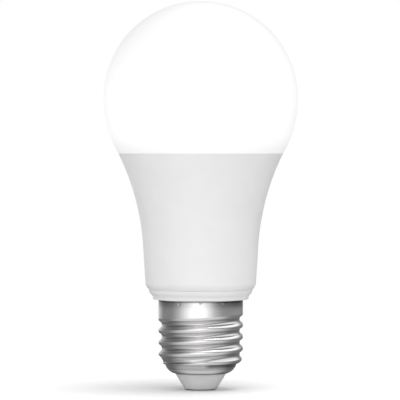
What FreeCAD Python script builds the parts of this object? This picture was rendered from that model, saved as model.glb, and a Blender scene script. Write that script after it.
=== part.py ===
import FreeCAD, Part

# Smart LED light bulb of the A60 shape with an E27 screw cap, as an assembly of its separate pieces.
# Millimetres, +Z up through the globe's top. The origin is the tip of the centre contact, on the axis.
# The bulb stands cap down. -Y is its front, where the driver board's tall parts are.

import math
import os
import re

import Sketcher

doc = FreeCAD.newDocument("smart_bulb")
sheet = doc.addObject("Spreadsheet::Sheet", "Sizes")
kept = []

# ---------------------------------------------------------------- driving dimensions, all in the sheet

SIZES = {
    # whole bulb
    "bulb_height": 120.0,
    "globe_radius": 30.0,
    "globe_lower_radius": 34.0,
    "globe_wall": 1.3,
    "seam_height": 73.0,
    "seam_gap": 0.16,
    # globe rim that drops into the jacket
    "spigot_radius": 22.8,
    "spigot_wall": 1.2,
    "spigot_bottom": 69.95,
    # jacket
    "flare_radius": 75.0,
    "flare_centre_radius": 92.634,
    "flare_centre_height": 39.706,
    "waist_radius": 17.73,
    "waist_height": 43.5,
    "heel_radius": 17.2,
    "heel_height": 33.0,
    "sole_radius": 16.3,
    "sole_height": 31.15,
    "sole_bore_radius": 15.6,
    "heel_arc": 2.9,
    "seam_radius": 25.43,
    "jacket_wall": 1.5,
    "ledge_height": 69.5,
    "rim_pocket_radius": 22.9,
    # heat sink and spreader plate
    "cup_wall": 1.0,
    "cup_bottom": 34.2,
    "part_gap": 0.1,
    "spreader_radius": 21.9,
    "spreader_thick": 1.2,
    # light board
    "pad_thick": 0.2,
    "light_board_radius": 21.4,
    "light_board_thick": 1.5,
    "led_ring_radius": 17.2,
    "led_count": 20.0,
    "led_long": 3.5,
    "led_short": 2.8,
    "led_tall": 0.7,
    "phosphor_long": 2.7,
    "phosphor_short": 2.1,
    "phosphor_depth": 0.35,
    "screw_ring_radius": 12.0,
    "screw_hole_radius": 1.4,
    "screw_head_radius": 2.2,
    "screw_head_tall": 1.5,
    "screw_shank_radius": 1.15,
    "screw_length": 7.0,
    "screw_recess_width": 0.6,
    "screw_recess_depth": 0.8,
    "pilot_radius": 1.2,
    "post_radius": 2.2,
    "post_bottom": 58.0,
    "radio_slot_half": 7.6,
    "radio_slot_deep": 1.8,
    "pin_window_half": 5.0,
    "pin_window_deep": 2.2,
    # driver sleeve
    "sleeve_radius": 14.4,
    "sleeve_wall": 0.9,
    "sleeve_bottom": 31.4,
    "sleeve_top": 66.8,
    "guide_deep": 1.6,
    "guide_thick": 1.2,
    "guide_slot": 1.5,
    "guide_top": 64.0,
    # collar under the jacket
    "collar_top": 31.0,
    "collar_top_radius": 16.1,
    "collar_land_height": 30.2,
    "collar_foot_radius": 14.8,
    "collar_lip_height": 28.8,
    "collar_bottom": 27.95,
    "collar_spigot_radius": 11.6,
    "collar_spigot_wall": 1.25,
    "collar_spigot_bottom": 9.4,
    "collar_step_height": 24.4,
    "collar_grip_radius": 12.7,
    "collar_land_radius": 15.85,
    "collar_rounding": 0.3,
    "collar_tenon_radius": 15.45,
    "collar_tenon_top": 34.0,
    # screw shell, E27
    "shell_radius": 13.1,
    "shell_root_radius": 12.03,
    "shell_wall": 0.3,
    "shell_top": 27.9,
    "thread_pitch": 3.629,
    "thread_start_turns": 3.5,
    "rib_foot_share": 0.83,
    "crest_height": 20.1,
    "neck_radius": 11.0,
    "neck_height": 7.9,
    "shoulder_radius": 8.0,
    "shoulder_height": 5.05,
    "shoulder_arc": 3.84,
    "shoulder_start_sine": 0.19,
    "shoulder_end_sine": 0.971,
    "rib_foot_half": 1.2,
    "rib_crest_half": 0.4,
    "groove_mouth_half": 1.1,
    "groove_root_half": 0.35,
    "thread_turns": 4.2,
    "taper_height": 10.9,
    "taper_foot_radius": 12.4,
    "taper_foot_height": 8.6,
    "dent_height": 26.95,
    "dent_radius": 0.42,
    "dent_depth": 0.16,
    "dent_count": 12.0,
    # cap insulator
    "cone_foot_radius": 5.05,
    "cone_foot_height": 0.45,
    "cone_top_radius": 7.85,
    "cone_top_height": 4.95,
    "flange_height": 5.43,
    "flange_turn_height": 6.6,
    "insulator_flange_radius": 9.9,
    "insulator_top": 7.6,
    "insulator_wall": 1.25,
    "insulator_floor": 2.3,
    # centre contact
    "contact_radius": 4.85,
    "contact_flat_radius": 2.1,
    "contact_dome_radius": 11.29,
    "contact_rim_height": 0.34,
    "stem_radius": 1.2,
    "stem_top": 6.6,
    # driver board
    "board_thick": 1.2,
    "tail_half": 9.1,
    "tail_bottom": 11.6,
    "tail_top": 29.2,
    "neck_half": 10.0,
    "body_half": 12.9,
    "body_bottom": 32.4,
    "body_top": 63.0,
    # parts on the driver board
    "capacitor_lead_shift": 1.25,
    "choke_lead_shift": 1.5,
    "varistor_lead_shift": 2.5,
    "film_lead_shift": 3.75,
    "bobbin_pin_shift": 2.5,
    "bobbin_pin_drop": 4.6,
    "bobbin_pin_rise": 3.0,
    "bead_height": 1.6,
    "bead_depth": 0.3,
    "sleeve_fold": 0.4,
    "choke_flange": 1.0,
    "choke_waist_radius": 1.5,
    "choke_winding_radius": 2.7,
    "varistor_x": 5.5,
    "varistor_y": 1.2,
    "varistor_z": 36.0,
    "varistor_radius": 3.5,
    "varistor_thick": 3.2,
    "transformer_x": 2.0,
    "transformer_y": -5.6,
    "transformer_z": 45.6,
    "core_across": 10.2,
    "core_tall": 10.2,
    "core_deep": 4.75,
    "core_leg": 2.6,
    "core_side": 1.3,
    "bobbin_wall": 0.45,
    "bobbin_flange_across": 7.1,
    "bobbin_flange_deep": 8.6,
    "winding_across": 6.6,
    "winding_deep": 8.0,
    # leads
    "lead_core_radius": 0.3,
    "lead_sleeve_radius": 0.65,
    "lead_bend": 0.9,
    "lead_bare_length": 1.2,
    "component_lead_radius": 0.28,
    "component_lead_drop": 1.3,
    "component_lead_bend": 0.5,
    "side_solder_radius": 0.65,
    "side_solder_y": 10.3,
    "side_solder_z": 8.6,
    "solder_radius": 0.75,
    "solder_tall": 0.85,
    "pin_pitch": 2.54,
    "pin_across": 0.64,
    "pin_top": 73.6,
    "pin_count": 4.0,
    "chip_pin_thick": 0.2,
    "chip_pin_long": 1.0,
    "fine_pin_wide": 0.4,
    "bridge_pin_wide": 0.7,
    "diode_pin_wide": 1.4,
    "moulding_rounding": 0.3,
    # radio module
    "radio_board_y": 5.0,
    "radio_board_thick": 0.8,
    "radio_board_half": 7.0,
    "radio_board_bottom": 46.5,
    "radio_board_top": 82.0,
    "can_half": 5.5,
    "can_bottom": 51.0,
    "can_top": 62.5,
    "can_deep": 1.8,
    "can_sheet": 0.2,
    "antenna_bottom": 73.6,
    "antenna_top": 80.8,
    "antenna_half": 5.6,
    "antenna_track": 0.7,
    "antenna_thick": 0.08,
    "antenna_runs": 7.0,
    "feed_bottom": 64.0,
}

# Box-shaped pieces: centre x, y and z, then the size across X, Y and Z.
BLOCKS = {
    "film_capacitor": (-7.4, -3.15, 37.9, 8.4, 5.0, 7.2),
    "driver_chip": (0.0, 1.45, 44.8, 4.9, 1.5, 3.9),
    "bridge_rectifier": (-4.2, 2.0, 21.0, 4.7, 2.4, 4.0),
    "diode_low": (8.2, 1.75, 44.0, 2.6, 2.1, 4.3),
    "diode_high": (-9.4, 1.75, 47.0, 2.6, 2.1, 4.3),
    "transistor_left": (-4.4, 1.25, 53.6, 2.9, 1.1, 1.5),
    "transistor_right": (4.4, 1.25, 53.6, 2.9, 1.1, 1.5),
    "radio_chip": (1.4, 5.85, 57.0, 5.0, 0.85, 5.0),
    "radio_crystal": (-3.2, 5.78, 58.8, 2.5, 0.7, 3.2),
    "light_socket": (0.0, -1.9, 72.9, 11.4, 3.4, 3.4),
    "driver_header": (0.0, -1.9, 61.4, 10.4, 2.5, 2.5),
    "radio_header": (0.0, 2.0, 50.6, 10.0, 2.6, 2.0),
}

# Chip resistors and capacitors on the driver board's back: centre x and z.
CHIP_RESISTORS = [
    (-8.4, 55.0), (-8.4, 57.4), (-8.4, 59.8), (8.4, 55.0), (8.4, 57.4), (0.0, 24.6), (0.0, 17.0),
]
CHIP_CAPACITORS = [(8.4, 59.8), (3.6, 24.6), (-5.0, 44.6), (8.4, 39.9), (0.0, 39.0)]
for place, (x, z) in enumerate(CHIP_RESISTORS):
    BLOCKS[f"chip_resistor_{place}"] = (x, 0.86, z, 2.0, 0.5, 1.25)
for place, (x, z) in enumerate(CHIP_CAPACITORS):
    BLOCKS[f"chip_capacitor_{place}"] = (x, 1.0, z, 2.0, 0.8, 1.25)

# Upright round pieces: centre x and y, bottom z, radius and height.
CANS = {
    "input_capacitor": (0.0, -4.9, 14.6, 4.0, 13.0),
    "output_capacitor": (-7.6, -5.0, 43.4, 4.0, 8.6),
    "fuse_resistor": (5.4, 2.3, 14.2, 1.35, 7.0),
    "choke": (-6.0, 4.6, 34.4, 3.0, 7.4),
}

BLOCK_PARTS = ("x", "y", "z", "across", "deep", "tall")
CAN_PARTS = ("x", "y", "z", "radius", "tall")
for table, parts in ((BLOCKS, BLOCK_PARTS), (CANS, CAN_PARTS)):
    for name, row in table.items():
        SIZES.update({f"{name}_{part}": number for part, number in zip(parts, row)})

for line, (alias, number) in enumerate(SIZES.items(), start=1):
    sheet.set(f"A{line}", alias)
    sheet.set(f"B{line}", str(number))
    sheet.setAlias(f"B{line}", alias)
doc.recompute()

# ---------------------------------------------------------------- how pieces are drawn


def bound(text):
    """An expression with each alias written as the sheet's own cell."""
    return re.sub(r"[a-z]\w*", lambda word: f"Sizes.{word[0]}" if word[0] in SIZES else word[0], str(text))


def size(text):
    """What an expression over the sheet comes to, in millimetres."""
    return float(sheet.evalExpression(bound(text)))


def bind(thing, **properties):
    """Binds an object's properties to expressions over the sheet. Two underscores stand for a dot."""
    for name, text in properties.items():
        thing.setExpression(name.replace("__", "."), bound(text))
    return thing


def keep(thing):
    """Marks an object as a sub-part: its Label names its file."""
    kept.append(thing)
    return thing


def origin_feature(body, role):
    return next(feature for feature in body.Origin.OriginFeatures if feature.Role == role)


def pin_point(sketch, name, where, x, y):
    """Fixes a sketch point, given as (geometry, position), at two expressions measured from the origin."""
    for kind, axis, letter, text in (("DistanceX", -2, "x", x), ("DistanceY", -1, "y", y)):
        if size(text) == 0.0:
            sketch.addConstraint(Sketcher.Constraint("PointOnObject", *where, axis))
        else:
            number = sketch.addConstraint(Sketcher.Constraint(kind, -1, 1, *where, size(text)))
            sketch.renameConstraint(number, f"{letter}{name}")
            sketch.setExpression(f"Constraints.{letter}{name}", bound(text))


def fix_radius(sketch, name, geometry, text):
    number = sketch.addConstraint(Sketcher.Constraint("Radius", geometry, size(text)))
    sketch.renameConstraint(number, f"r{name}")
    sketch.setExpression(f"Constraints.r{name}", bound(text))


def arc_between(start, end, radius):
    """The short arc from start to end. A positive radius turns left on the way, a negative one right."""
    chord = end - start
    reach = math.sqrt(radius**2 - (chord.Length / 2) ** 2)
    left = FreeCAD.Vector(-chord.y, chord.x, 0).normalize()
    centre = (start + end) / 2 + left * math.copysign(reach, radius)
    first, last = (start, end) if radius > 0 else (end, start)
    angles = [math.atan2(point.y - centre.y, point.x - centre.x) for point in (first, last)]
    return Part.ArcOfCircle(Part.Circle(centre, FreeCAD.Vector(0, 0, 1), abs(radius)), *angles)


def loop(sketch, name, corners, arcs):
    """A closed run of sides through the corners. arcs gives the signed radius of each curved side."""
    places = [FreeCAD.Vector(size(x), size(y), 0) for x, y in corners]
    first = sketch.GeometryCount
    ends = []
    for side, start in enumerate(places):
        end = places[(side + 1) % len(places)]
        if side in arcs:
            turns_left = not arcs[side].startswith("-")
            radius = size(arcs[side].lstrip("-"))
            sketch.addGeometry(arc_between(start, end, radius if turns_left else -radius), False)
            fix_radius(sketch, f"{name}_{side}", first + side, arcs[side].lstrip("-"))
            ends.append((1, 2) if turns_left else (2, 1))
        else:
            sketch.addGeometry(Part.LineSegment(start, end), False)
            ends.append((1, 2))
    for side, (x, y) in enumerate(corners):
        after = (side + 1) % len(corners)
        sketch.addConstraint(
            Sketcher.Constraint("Coincident", first + side, ends[side][1], first + after, ends[after][0])
        )
        pin_point(sketch, f"{name}_{side}", (first + side, ends[side][0]), x, y)


def sketch_on(body, name, role, offset="0", loops=(), circles=()):
    """A sketch on an origin plane of the body, of closed loops (corners, arcs) and circles (x, y, r)."""
    sketch = body.newObject("Sketcher::SketchObject", name)
    sketch.AttachmentSupport = [(origin_feature(body, role), "")]
    sketch.MapMode = "FlatFace"
    bind(sketch, AttachmentOffset__Base__z=offset)
    for number, (corners, arcs) in enumerate(loops):
        loop(sketch, f"side{number}", corners, arcs)
    for number, (x, y, radius) in enumerate(circles):
        centre = FreeCAD.Vector(size(x), size(y), 0)
        geometry = sketch.addGeometry(Part.Circle(centre, FreeCAD.Vector(0, 0, 1), size(radius)), False)
        pin_point(sketch, f"hole{number}", (geometry, 3), x, y)
        fix_radius(sketch, f"hole{number}", geometry, radius)
    return sketch


def turned(label, corners, arcs=None):
    """A body turned about Z from a section in the XZ plane, as (radius, height) corners."""
    body = doc.addObject("PartDesign::Body", label)
    section = sketch_on(body, f"{label}_section", "XZ_Plane", loops=[(corners, arcs or {})])
    turn = body.newObject("PartDesign::Revolution", f"{label}_turned")
    turn.Profile = section
    turn.ReferenceAxis = (section, ["V_Axis"])
    turn.Angle = 360
    return keep(body)


def pad(body, name, role, offset, thick, loops=(), circles=()):
    """Pads a sketch. On XY_Plane it grows up +Z, on XZ_Plane towards -Y, on YZ_Plane towards +X."""
    grown = body.newObject("PartDesign::Pad", name)
    grown.Profile = sketch_on(body, f"{name}_outline", role, offset, loops, circles)
    bind(grown, Length=thick)
    doc.recompute()
    return grown


def pocket(body, name, role, offset, deep, loops=(), circles=()):
    """Cuts away what stands on the far side of a sketch, the way that pad would grow."""
    doc.recompute()
    before = body.Shape.Volume
    cut = body.newObject("PartDesign::Pocket", name)
    cut.Profile = sketch_on(body, f"{name}_outline", role, offset, loops, circles)
    cut.Reversed = True
    bind(cut, Length=deep)
    doc.recompute()
    if cut.Shape.Volume >= before:
        raise RuntimeError(f"{name} cuts nothing")
    return cut


def rectangle(x, y, half_across, half_deep):
    """The corners of a rectangle about (x, y), as a loop for a sketch."""
    left, right = f"({x}) - ({half_across})", f"({x}) + ({half_across})"
    near, far = f"({y}) - ({half_deep})", f"({y}) + ({half_deep})"
    return [(left, near), (right, near), (right, far), (left, far)], {}


def repeated(body, name, originals, count):
    """Repeats features of a body evenly round its Z axis."""
    pattern = body.newObject("PartDesign::PolarPattern", name)
    pattern.Originals = originals
    pattern.Axis = (origin_feature(body, "Z_Axis"), [""])
    pattern.Angle = 360
    bind(pattern, Occurrences=count)
    body.Tip = pattern
    doc.recompute()
    return pattern


def ring_places(radius, count, first_angle):
    """Places evenly round the axis, as (angle, x, y) with x and y as expressions."""
    angles = [first_angle + 360.0 / count * number for number in range(count)]
    return [(angle, f"{radius} * cos({angle} deg)", f"{radius} * sin({angle} deg)") for angle in angles]


def box(name, x, y, z, across, deep, tall):
    """A box about a centre, every size bound to the sheet."""
    made = doc.addObject("Part::Box", name)
    bind(made, Length=across, Width=deep, Height=tall)
    bind(made, Placement__Base__x=f"({x}) - ({across}) / 2", Placement__Base__y=f"({y}) - ({deep}) / 2")
    return bind(made, Placement__Base__z=f"({z}) - ({tall}) / 2")


def block(name, label=None):
    """The box-shaped piece of that name in the sheet."""
    return box(label or name, *(f"{name}_{part}" for part in BLOCK_PARTS))


def cylinder(name, x, y, z, radius, tall):
    made = doc.addObject("Part::Cylinder", name)
    bind(made, Radius=radius, Height=tall)
    return bind(made, Placement__Base__x=x, Placement__Base__y=y, Placement__Base__z=z)


def can(name, label=None):
    """The upright round piece of that name in the sheet."""
    return cylinder(label or name, *(f"{name}_{part}" for part in CAN_PARTS))


def pin_along_y(name, x, start, z, radius, long):
    """A round pin that runs along +Y from start."""
    pin = doc.addObject("Part::Cylinder", name)
    pin.Placement = FreeCAD.Placement(FreeCAD.Vector(), FreeCAD.Rotation(FreeCAD.Vector(1, 0, 0), -90))
    bind(pin, Radius=radius, Height=long)
    return bind(pin, Placement__Base__x=x, Placement__Base__y=start, Placement__Base__z=z)


def joined(kind, name, pieces):
    """Several shapes as one: kind is Part::Compound, which leaves them separate, or Part::MultiFuse."""
    made = doc.addObject(kind, name)
    if kind == "Part::Compound":
        made.Links = pieces
    else:
        made.Shapes = pieces
    return made


def less(name, base, tool):
    cut = doc.addObject("Part::Cut", name)
    cut.Base = base
    cut.Tool = tool
    return cut


def runs_upright(edge):
    return abs(edge.tangentAt(edge.FirstParameter).z) > 0.9


def softened(name, base, radius, chosen=lambda edge: True):
    """Rounds the chosen edges of a shape."""
    doc.recompute()
    fillet = doc.addObject("Part::Fillet", name)
    fillet.Base = base
    rounding = size(radius)
    edges = [number for number, edge in enumerate(base.Shape.Edges, start=1) if chosen(edge)]
    fillet.Edges = [(number, rounding, rounding) for number in edges]
    return fillet

# ---------------------------------------------------------------- screw cap

# Centre contact: a shallow pressed button with a nail stem, which is driven up through the insulator.
turned(
    "centre_contact",
    [
        ("0", "0"),
        ("contact_flat_radius", "0"),
        ("contact_radius", "contact_rim_height"),
        ("contact_radius", "cone_foot_height"),
        ("stem_radius", "cone_foot_height"),
        ("stem_radius", "stem_top"),
        ("0", "stem_top"),
    ],
    {1: "contact_dome_radius"},
)

# Cap insulator: a moulded cone whose flange the shell's rolled edge holds from below.
turned(
    "cap_insulator",
    [
        ("stem_radius + part_gap", "cone_foot_height"),
        ("cone_foot_radius", "cone_foot_height"),
        ("cone_top_radius", "cone_top_height"),
        ("cone_top_radius", "flange_height"),
        ("insulator_flange_radius", "flange_turn_height"),
        ("insulator_flange_radius", "insulator_top"),
        ("insulator_flange_radius - insulator_wall", "insulator_top"),
        ("insulator_flange_radius - insulator_wall", "flange_turn_height"),
        ("cone_top_radius - insulator_wall", "flange_height"),
        ("cone_foot_radius - insulator_wall / 2", "insulator_floor"),
        ("stem_radius + part_gap", "insulator_floor"),
    ],
    {3: "shoulder_arc - shell_wall - part_gap"},
)


def screw_shell():
    """The E27 shell: thin drawn sheet with a rolled right-hand thread, punched in at twelve dents."""
    centre = (
        "(shoulder_radius - shoulder_start_sine * shoulder_arc)",
        "(shoulder_height + sqrt(1 - shoulder_start_sine^2) * shoulder_arc)",
    )

    def on_shoulder(sine, arc):
        return (f"{centre[0]} + {sine} * ({arc})", f"{centre[1]} - sqrt(1 - {sine}^2) * ({arc})")

    body = turned(
        "screw_shell",
        [
            ("shoulder_radius", "shoulder_height"),
            on_shoulder("shoulder_end_sine", "shoulder_arc"),
            ("taper_foot_radius", "taper_foot_height"),
            ("shell_radius", "taper_height"),
            ("shell_radius", "shell_top"),
            ("shell_radius - shell_wall", "shell_top"),
            ("shell_radius - shell_wall", "taper_height"),
            ("taper_foot_radius - shell_wall", "taper_foot_height + shell_wall"),
            on_shoulder("shoulder_end_sine", "shoulder_arc - shell_wall"),
            on_shoulder("shoulder_start_sine", "shoulder_arc - shell_wall"),
        ],
        {0: "shoulder_arc", 8: "-shoulder_arc - shell_wall"},
    )
    doc.recompute()

    # The rolled groove stands in from both faces of the sheet, so a rib inside goes with each groove.
    start = "crest_height - thread_start_turns * thread_pitch"
    rib_foot = "shell_radius - shell_wall * rib_foot_share"
    rib_crest = "shell_root_radius - shell_wall"
    for name, kind, foot, foot_half, crest, crest_half in (
        ("thread_rib", "PartDesign::AdditiveHelix", rib_foot, "rib_foot_half", rib_crest, "rib_crest_half"),
        (
            "thread_groove",
            "PartDesign::SubtractiveHelix",
            "shell_radius + part_gap",
            "groove_mouth_half",
            "shell_root_radius",
            "groove_root_half",
        ),
    ):
        corners = [
            (foot, f"{start} - {foot_half}"),
            (crest, f"{start} - {crest_half}"),
            (crest, f"{start} + {crest_half}"),
            (foot, f"{start} + {foot_half}"),
        ]
        section = sketch_on(body, f"{name}_section", "XZ_Plane", loops=[(corners, {})])
        helix = body.newObject(kind, name)
        helix.Profile = section
        helix.ReferenceAxis = (section, ["V_Axis"])
        helix.Mode = 0
        bind(helix, Pitch="thread_pitch", Height="thread_pitch * thread_turns")
        doc.recompute()

    # What the rib leaves outside the taper below the last thread is trimmed off.
    outside = [
        ("neck_radius - 1", "neck_height - 4"),
        ("shell_radius + 2", "neck_height - 4"),
        ("shell_radius + 2", "taper_height"),
        ("shell_radius + 0.01", "taper_height"),
        ("taper_foot_radius + 0.01", "taper_foot_height - 0.01"),
        ("neck_radius + 0.02", "neck_height - 0.02"),
    ]
    trim = sketch_on(body, "taper_trim_section", "XZ_Plane", loops=[(outside, {})])
    groove = body.newObject("PartDesign::Groove", "taper_trim")
    groove.Profile = trim
    groove.ReferenceAxis = (trim, ["V_Axis"])
    groove.Angle = 360
    doc.recompute()
    dent_place = [("0", "dent_height", "dent_radius")]
    dent = pocket(
        body, "dent", "XZ_Plane", "shell_radius - dent_depth", "dent_depth * 2", circles=dent_place
    )
    repeated(body, "dents", [dent], "dent_count")


screw_shell()

# Base collar: a moulded ring under the jacket. Its spigot stands inside the shell, which is punched
# into the wide grip near the top, and its tenon plugs into the jacket's bore.
turned(
    "base_collar",
    [
        ("collar_spigot_radius - collar_spigot_wall", "collar_spigot_bottom"),
        ("collar_spigot_radius", "collar_spigot_bottom"),
        ("collar_spigot_radius", "collar_step_height"),
        ("collar_grip_radius", "collar_step_height"),
        ("collar_grip_radius", "collar_bottom"),
        ("collar_foot_radius - collar_rounding", "collar_bottom"),
        ("collar_foot_radius", "collar_bottom + collar_rounding"),
        ("collar_foot_radius", "collar_lip_height"),
        ("collar_land_radius", "collar_land_height"),
        ("collar_top_radius", "collar_top"),
        ("collar_tenon_radius", "collar_top"),
        ("collar_tenon_radius", "collar_tenon_top"),
        ("sleeve_radius + part_gap", "collar_tenon_top"),
        ("sleeve_radius + part_gap", "sleeve_bottom - part_gap"),
        ("collar_spigot_radius - collar_spigot_wall", "sleeve_bottom - part_gap"),
    ],
    {5: "collar_rounding"},
)


# ---------------------------------------------------------------- the two mains leads in the cap


def bent_wire(points, bend):
    """A path of straight runs through the points, each corner rounded to the bend radius."""
    edges = []
    start = points[0]
    for before, corner, after in zip(points, points[1:], points[2:]):
        inward = (before - corner).normalize()
        outward = (after - corner).normalize()
        half_turn = (math.pi - inward.getAngle(outward)) / 2
        reach = bend * math.tan(half_turn)
        first = corner + inward * reach
        last = corner + outward * reach
        middle = corner + (inward + outward).normalize() * (bend / math.cos(half_turn) - bend)
        edges.append(Part.LineSegment(start, first).toShape())
        edges.append(Part.Arc(first, middle, last).toShape())
        start = last
    edges.append(Part.LineSegment(start, points[-1]).toShape())
    return Part.Wire(edges)


def round_wire(points, bend, radius):
    """A round wire along a bent path."""
    direction = points[1] - points[0]
    ring = Part.Wire(Part.Circle(points[0], direction, radius).toShape())
    return bent_wire(points, bend).makePipeShell([ring], True, False)


def lead(name, points):
    """A tinned core from end to end, and its insulating sleeve, which leaves both ends bare."""
    bare = size("lead_bare_length")
    bend = size("lead_bend")
    covered = list(points)
    covered[0] = points[0] + (points[1] - points[0]).normalize() * bare
    covered[-1] = points[-1] + (points[-2] - points[-1]).normalize() * bare
    core = doc.addObject("Part::Feature", f"{name}_core")
    core.Shape = round_wire(points, bend, size("lead_core_radius"))
    sleeve = doc.addObject("Part::Feature", f"{name}_sleeve")
    hollow = round_wire(covered, bend, size("lead_core_radius + part_gap / 4"))
    sleeve.Shape = round_wire(covered, bend, size("lead_sleeve_radius")).cut(hollow)
    keep(core)
    keep(sleeve)


board_back = size("board_thick / 2")
stem_top = size("stem_top")
lead(
    "live_lead",
    [
        FreeCAD.Vector(0, 0, stem_top),
        FreeCAD.Vector(0, 0, stem_top + 3.2),
        FreeCAD.Vector(2.2, 3.0, 11.8),
        FreeCAD.Vector(2.2, 3.0, 15.0),
        FreeCAD.Vector(2.2, board_back, 15.0),
    ],
)
solder_face = size("side_solder_y - side_solder_radius")
solder_height = size("side_solder_z")
lead(
    "neutral_lead",
    [
        FreeCAD.Vector(0, solder_face, solder_height),
        FreeCAD.Vector(0, solder_face - 3.4, solder_height),
        FreeCAD.Vector(-6.2, 3.2, 11.8),
        FreeCAD.Vector(-6.2, 3.2, 15.0),
        FreeCAD.Vector(-6.2, board_back, 15.0),
    ],
)

# The neutral lead is soldered to the inside of the shell below the spigot.
side_solder = keep(doc.addObject("Part::Sphere", "side_solder"))
bind(side_solder, Radius="side_solder_radius")
bind(side_solder, Placement__Base__y="side_solder_y", Placement__Base__z="side_solder_z")


# ---------------------------------------------------------------- driver sleeve and driver board

SPREADER_BOTTOM = "(ledge_height - spreader_thick)"
LIGHT_BOARD_TOP = "(ledge_height + pad_thick + light_board_thick)"
PILOT_BOTTOM = f"({LIGHT_BOARD_TOP} - screw_length - spreader_thick)"


def driver_sleeve():
    """An insulating tube round the driver, with a guide down each side and three screw posts."""
    body = doc.addObject("PartDesign::Body", "driver_sleeve")
    rings = [("0", "0", "sleeve_radius"), ("0", "0", "sleeve_radius - sleeve_wall")]
    pad(body, "sleeve_tube", "XY_Plane", "sleeve_bottom", "sleeve_top - sleeve_bottom", circles=rings)
    inner = "(sleeve_radius - sleeve_wall)"
    guides = [
        rectangle(
            f"{side} * ({inner} - (guide_deep - sleeve_wall / 2) / 2)",
            f"{face} * (guide_slot + guide_thick) / 2",
            "(guide_deep + sleeve_wall / 2) / 2",
            "guide_thick / 2",
        )
        for side in (-1, 1)
        for face in (-1, 1)
    ]
    pad(body, "board_guides", "XY_Plane", "sleeve_bottom", "guide_top - sleeve_bottom", loops=guides)
    places = ring_places("screw_ring_radius", 3, 30)
    posts = [(x, y, "post_radius") for _, x, y in places]
    pad(body, "screw_posts", "XY_Plane", "post_bottom", f"{SPREADER_BOTTOM} - post_bottom", circles=posts)
    pilots = [(x, y, "pilot_radius") for _, x, y in places]
    pilot_deep = f"{SPREADER_BOTTOM} - {PILOT_BOTTOM}"
    pocket(body, "pilot_holes", "XY_Plane", PILOT_BOTTOM, pilot_deep, circles=pilots)
    keep(body)


driver_sleeve()


def driver_board():
    """The glass-cloth board: a narrow tail down into the cap and a wide body in the sleeve's guides."""
    body = doc.addObject("PartDesign::Body", "driver_board")
    right_side = [
        ("tail_half", "tail_bottom"),
        ("tail_half", "tail_top"),
        ("neck_half", "tail_top"),
        ("neck_half", "body_bottom"),
        ("body_half", "body_bottom"),
        ("body_half", "body_top"),
    ]
    left_side = [(f"-{x}", z) for x, z in reversed(right_side)]
    outline = (right_side + left_side, {})
    pad(body, "board_outline", "XZ_Plane", "-board_thick / 2", "board_thick", loops=[outline])
    keep(body)


driver_board()

# ---------------------------------------------------------------- parts on the driver board


def moved_to(body, name):
    """Stands a body on the place that the sheet gives for that name."""
    bind(body, Placement__Base__x=f"{name}_x", Placement__Base__y=f"{name}_y")
    return bind(body, Placement__Base__z=f"{name}_z")


def electrolytic(name):
    """A capacitor can with its rolled bead near the foot and the sleeve's fold round the top."""
    radius = f"{name}_radius"
    tall = f"{name}_tall"
    body = turned(
        name,
        [
            ("0", "0"),
            (radius, "0"),
            (radius, "bead_height - bead_depth"),
            (f"{radius} - bead_depth", "bead_height"),
            (radius, "bead_height + bead_depth"),
            (radius, f"{tall} - sleeve_fold"),
            (f"{radius} - sleeve_fold", tall),
            ("0", tall),
        ],
        {5: "sleeve_fold"},
    )
    moved_to(body, name)


def choke():
    """A drum core of ferrite and the coil wound in its waist."""
    core = turned(
        "choke_core",
        [
            ("0", "0"),
            ("choke_radius", "0"),
            ("choke_radius", "choke_flange"),
            ("choke_waist_radius", "choke_flange"),
            ("choke_waist_radius", "choke_tall - choke_flange"),
            ("choke_radius", "choke_tall - choke_flange"),
            ("choke_radius", "choke_tall"),
            ("0", "choke_tall"),
        ],
    )
    winding = turned(
        "choke_winding",
        [
            ("choke_waist_radius + part_gap / 2", "choke_flange + part_gap / 2"),
            ("choke_winding_radius", "choke_flange + part_gap / 2"),
            ("choke_winding_radius", "choke_tall - choke_flange - part_gap / 2"),
            ("choke_waist_radius + part_gap / 2", "choke_tall - choke_flange - part_gap / 2"),
        ],
    )
    moved_to(core, "choke")
    moved_to(winding, "choke")


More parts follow.
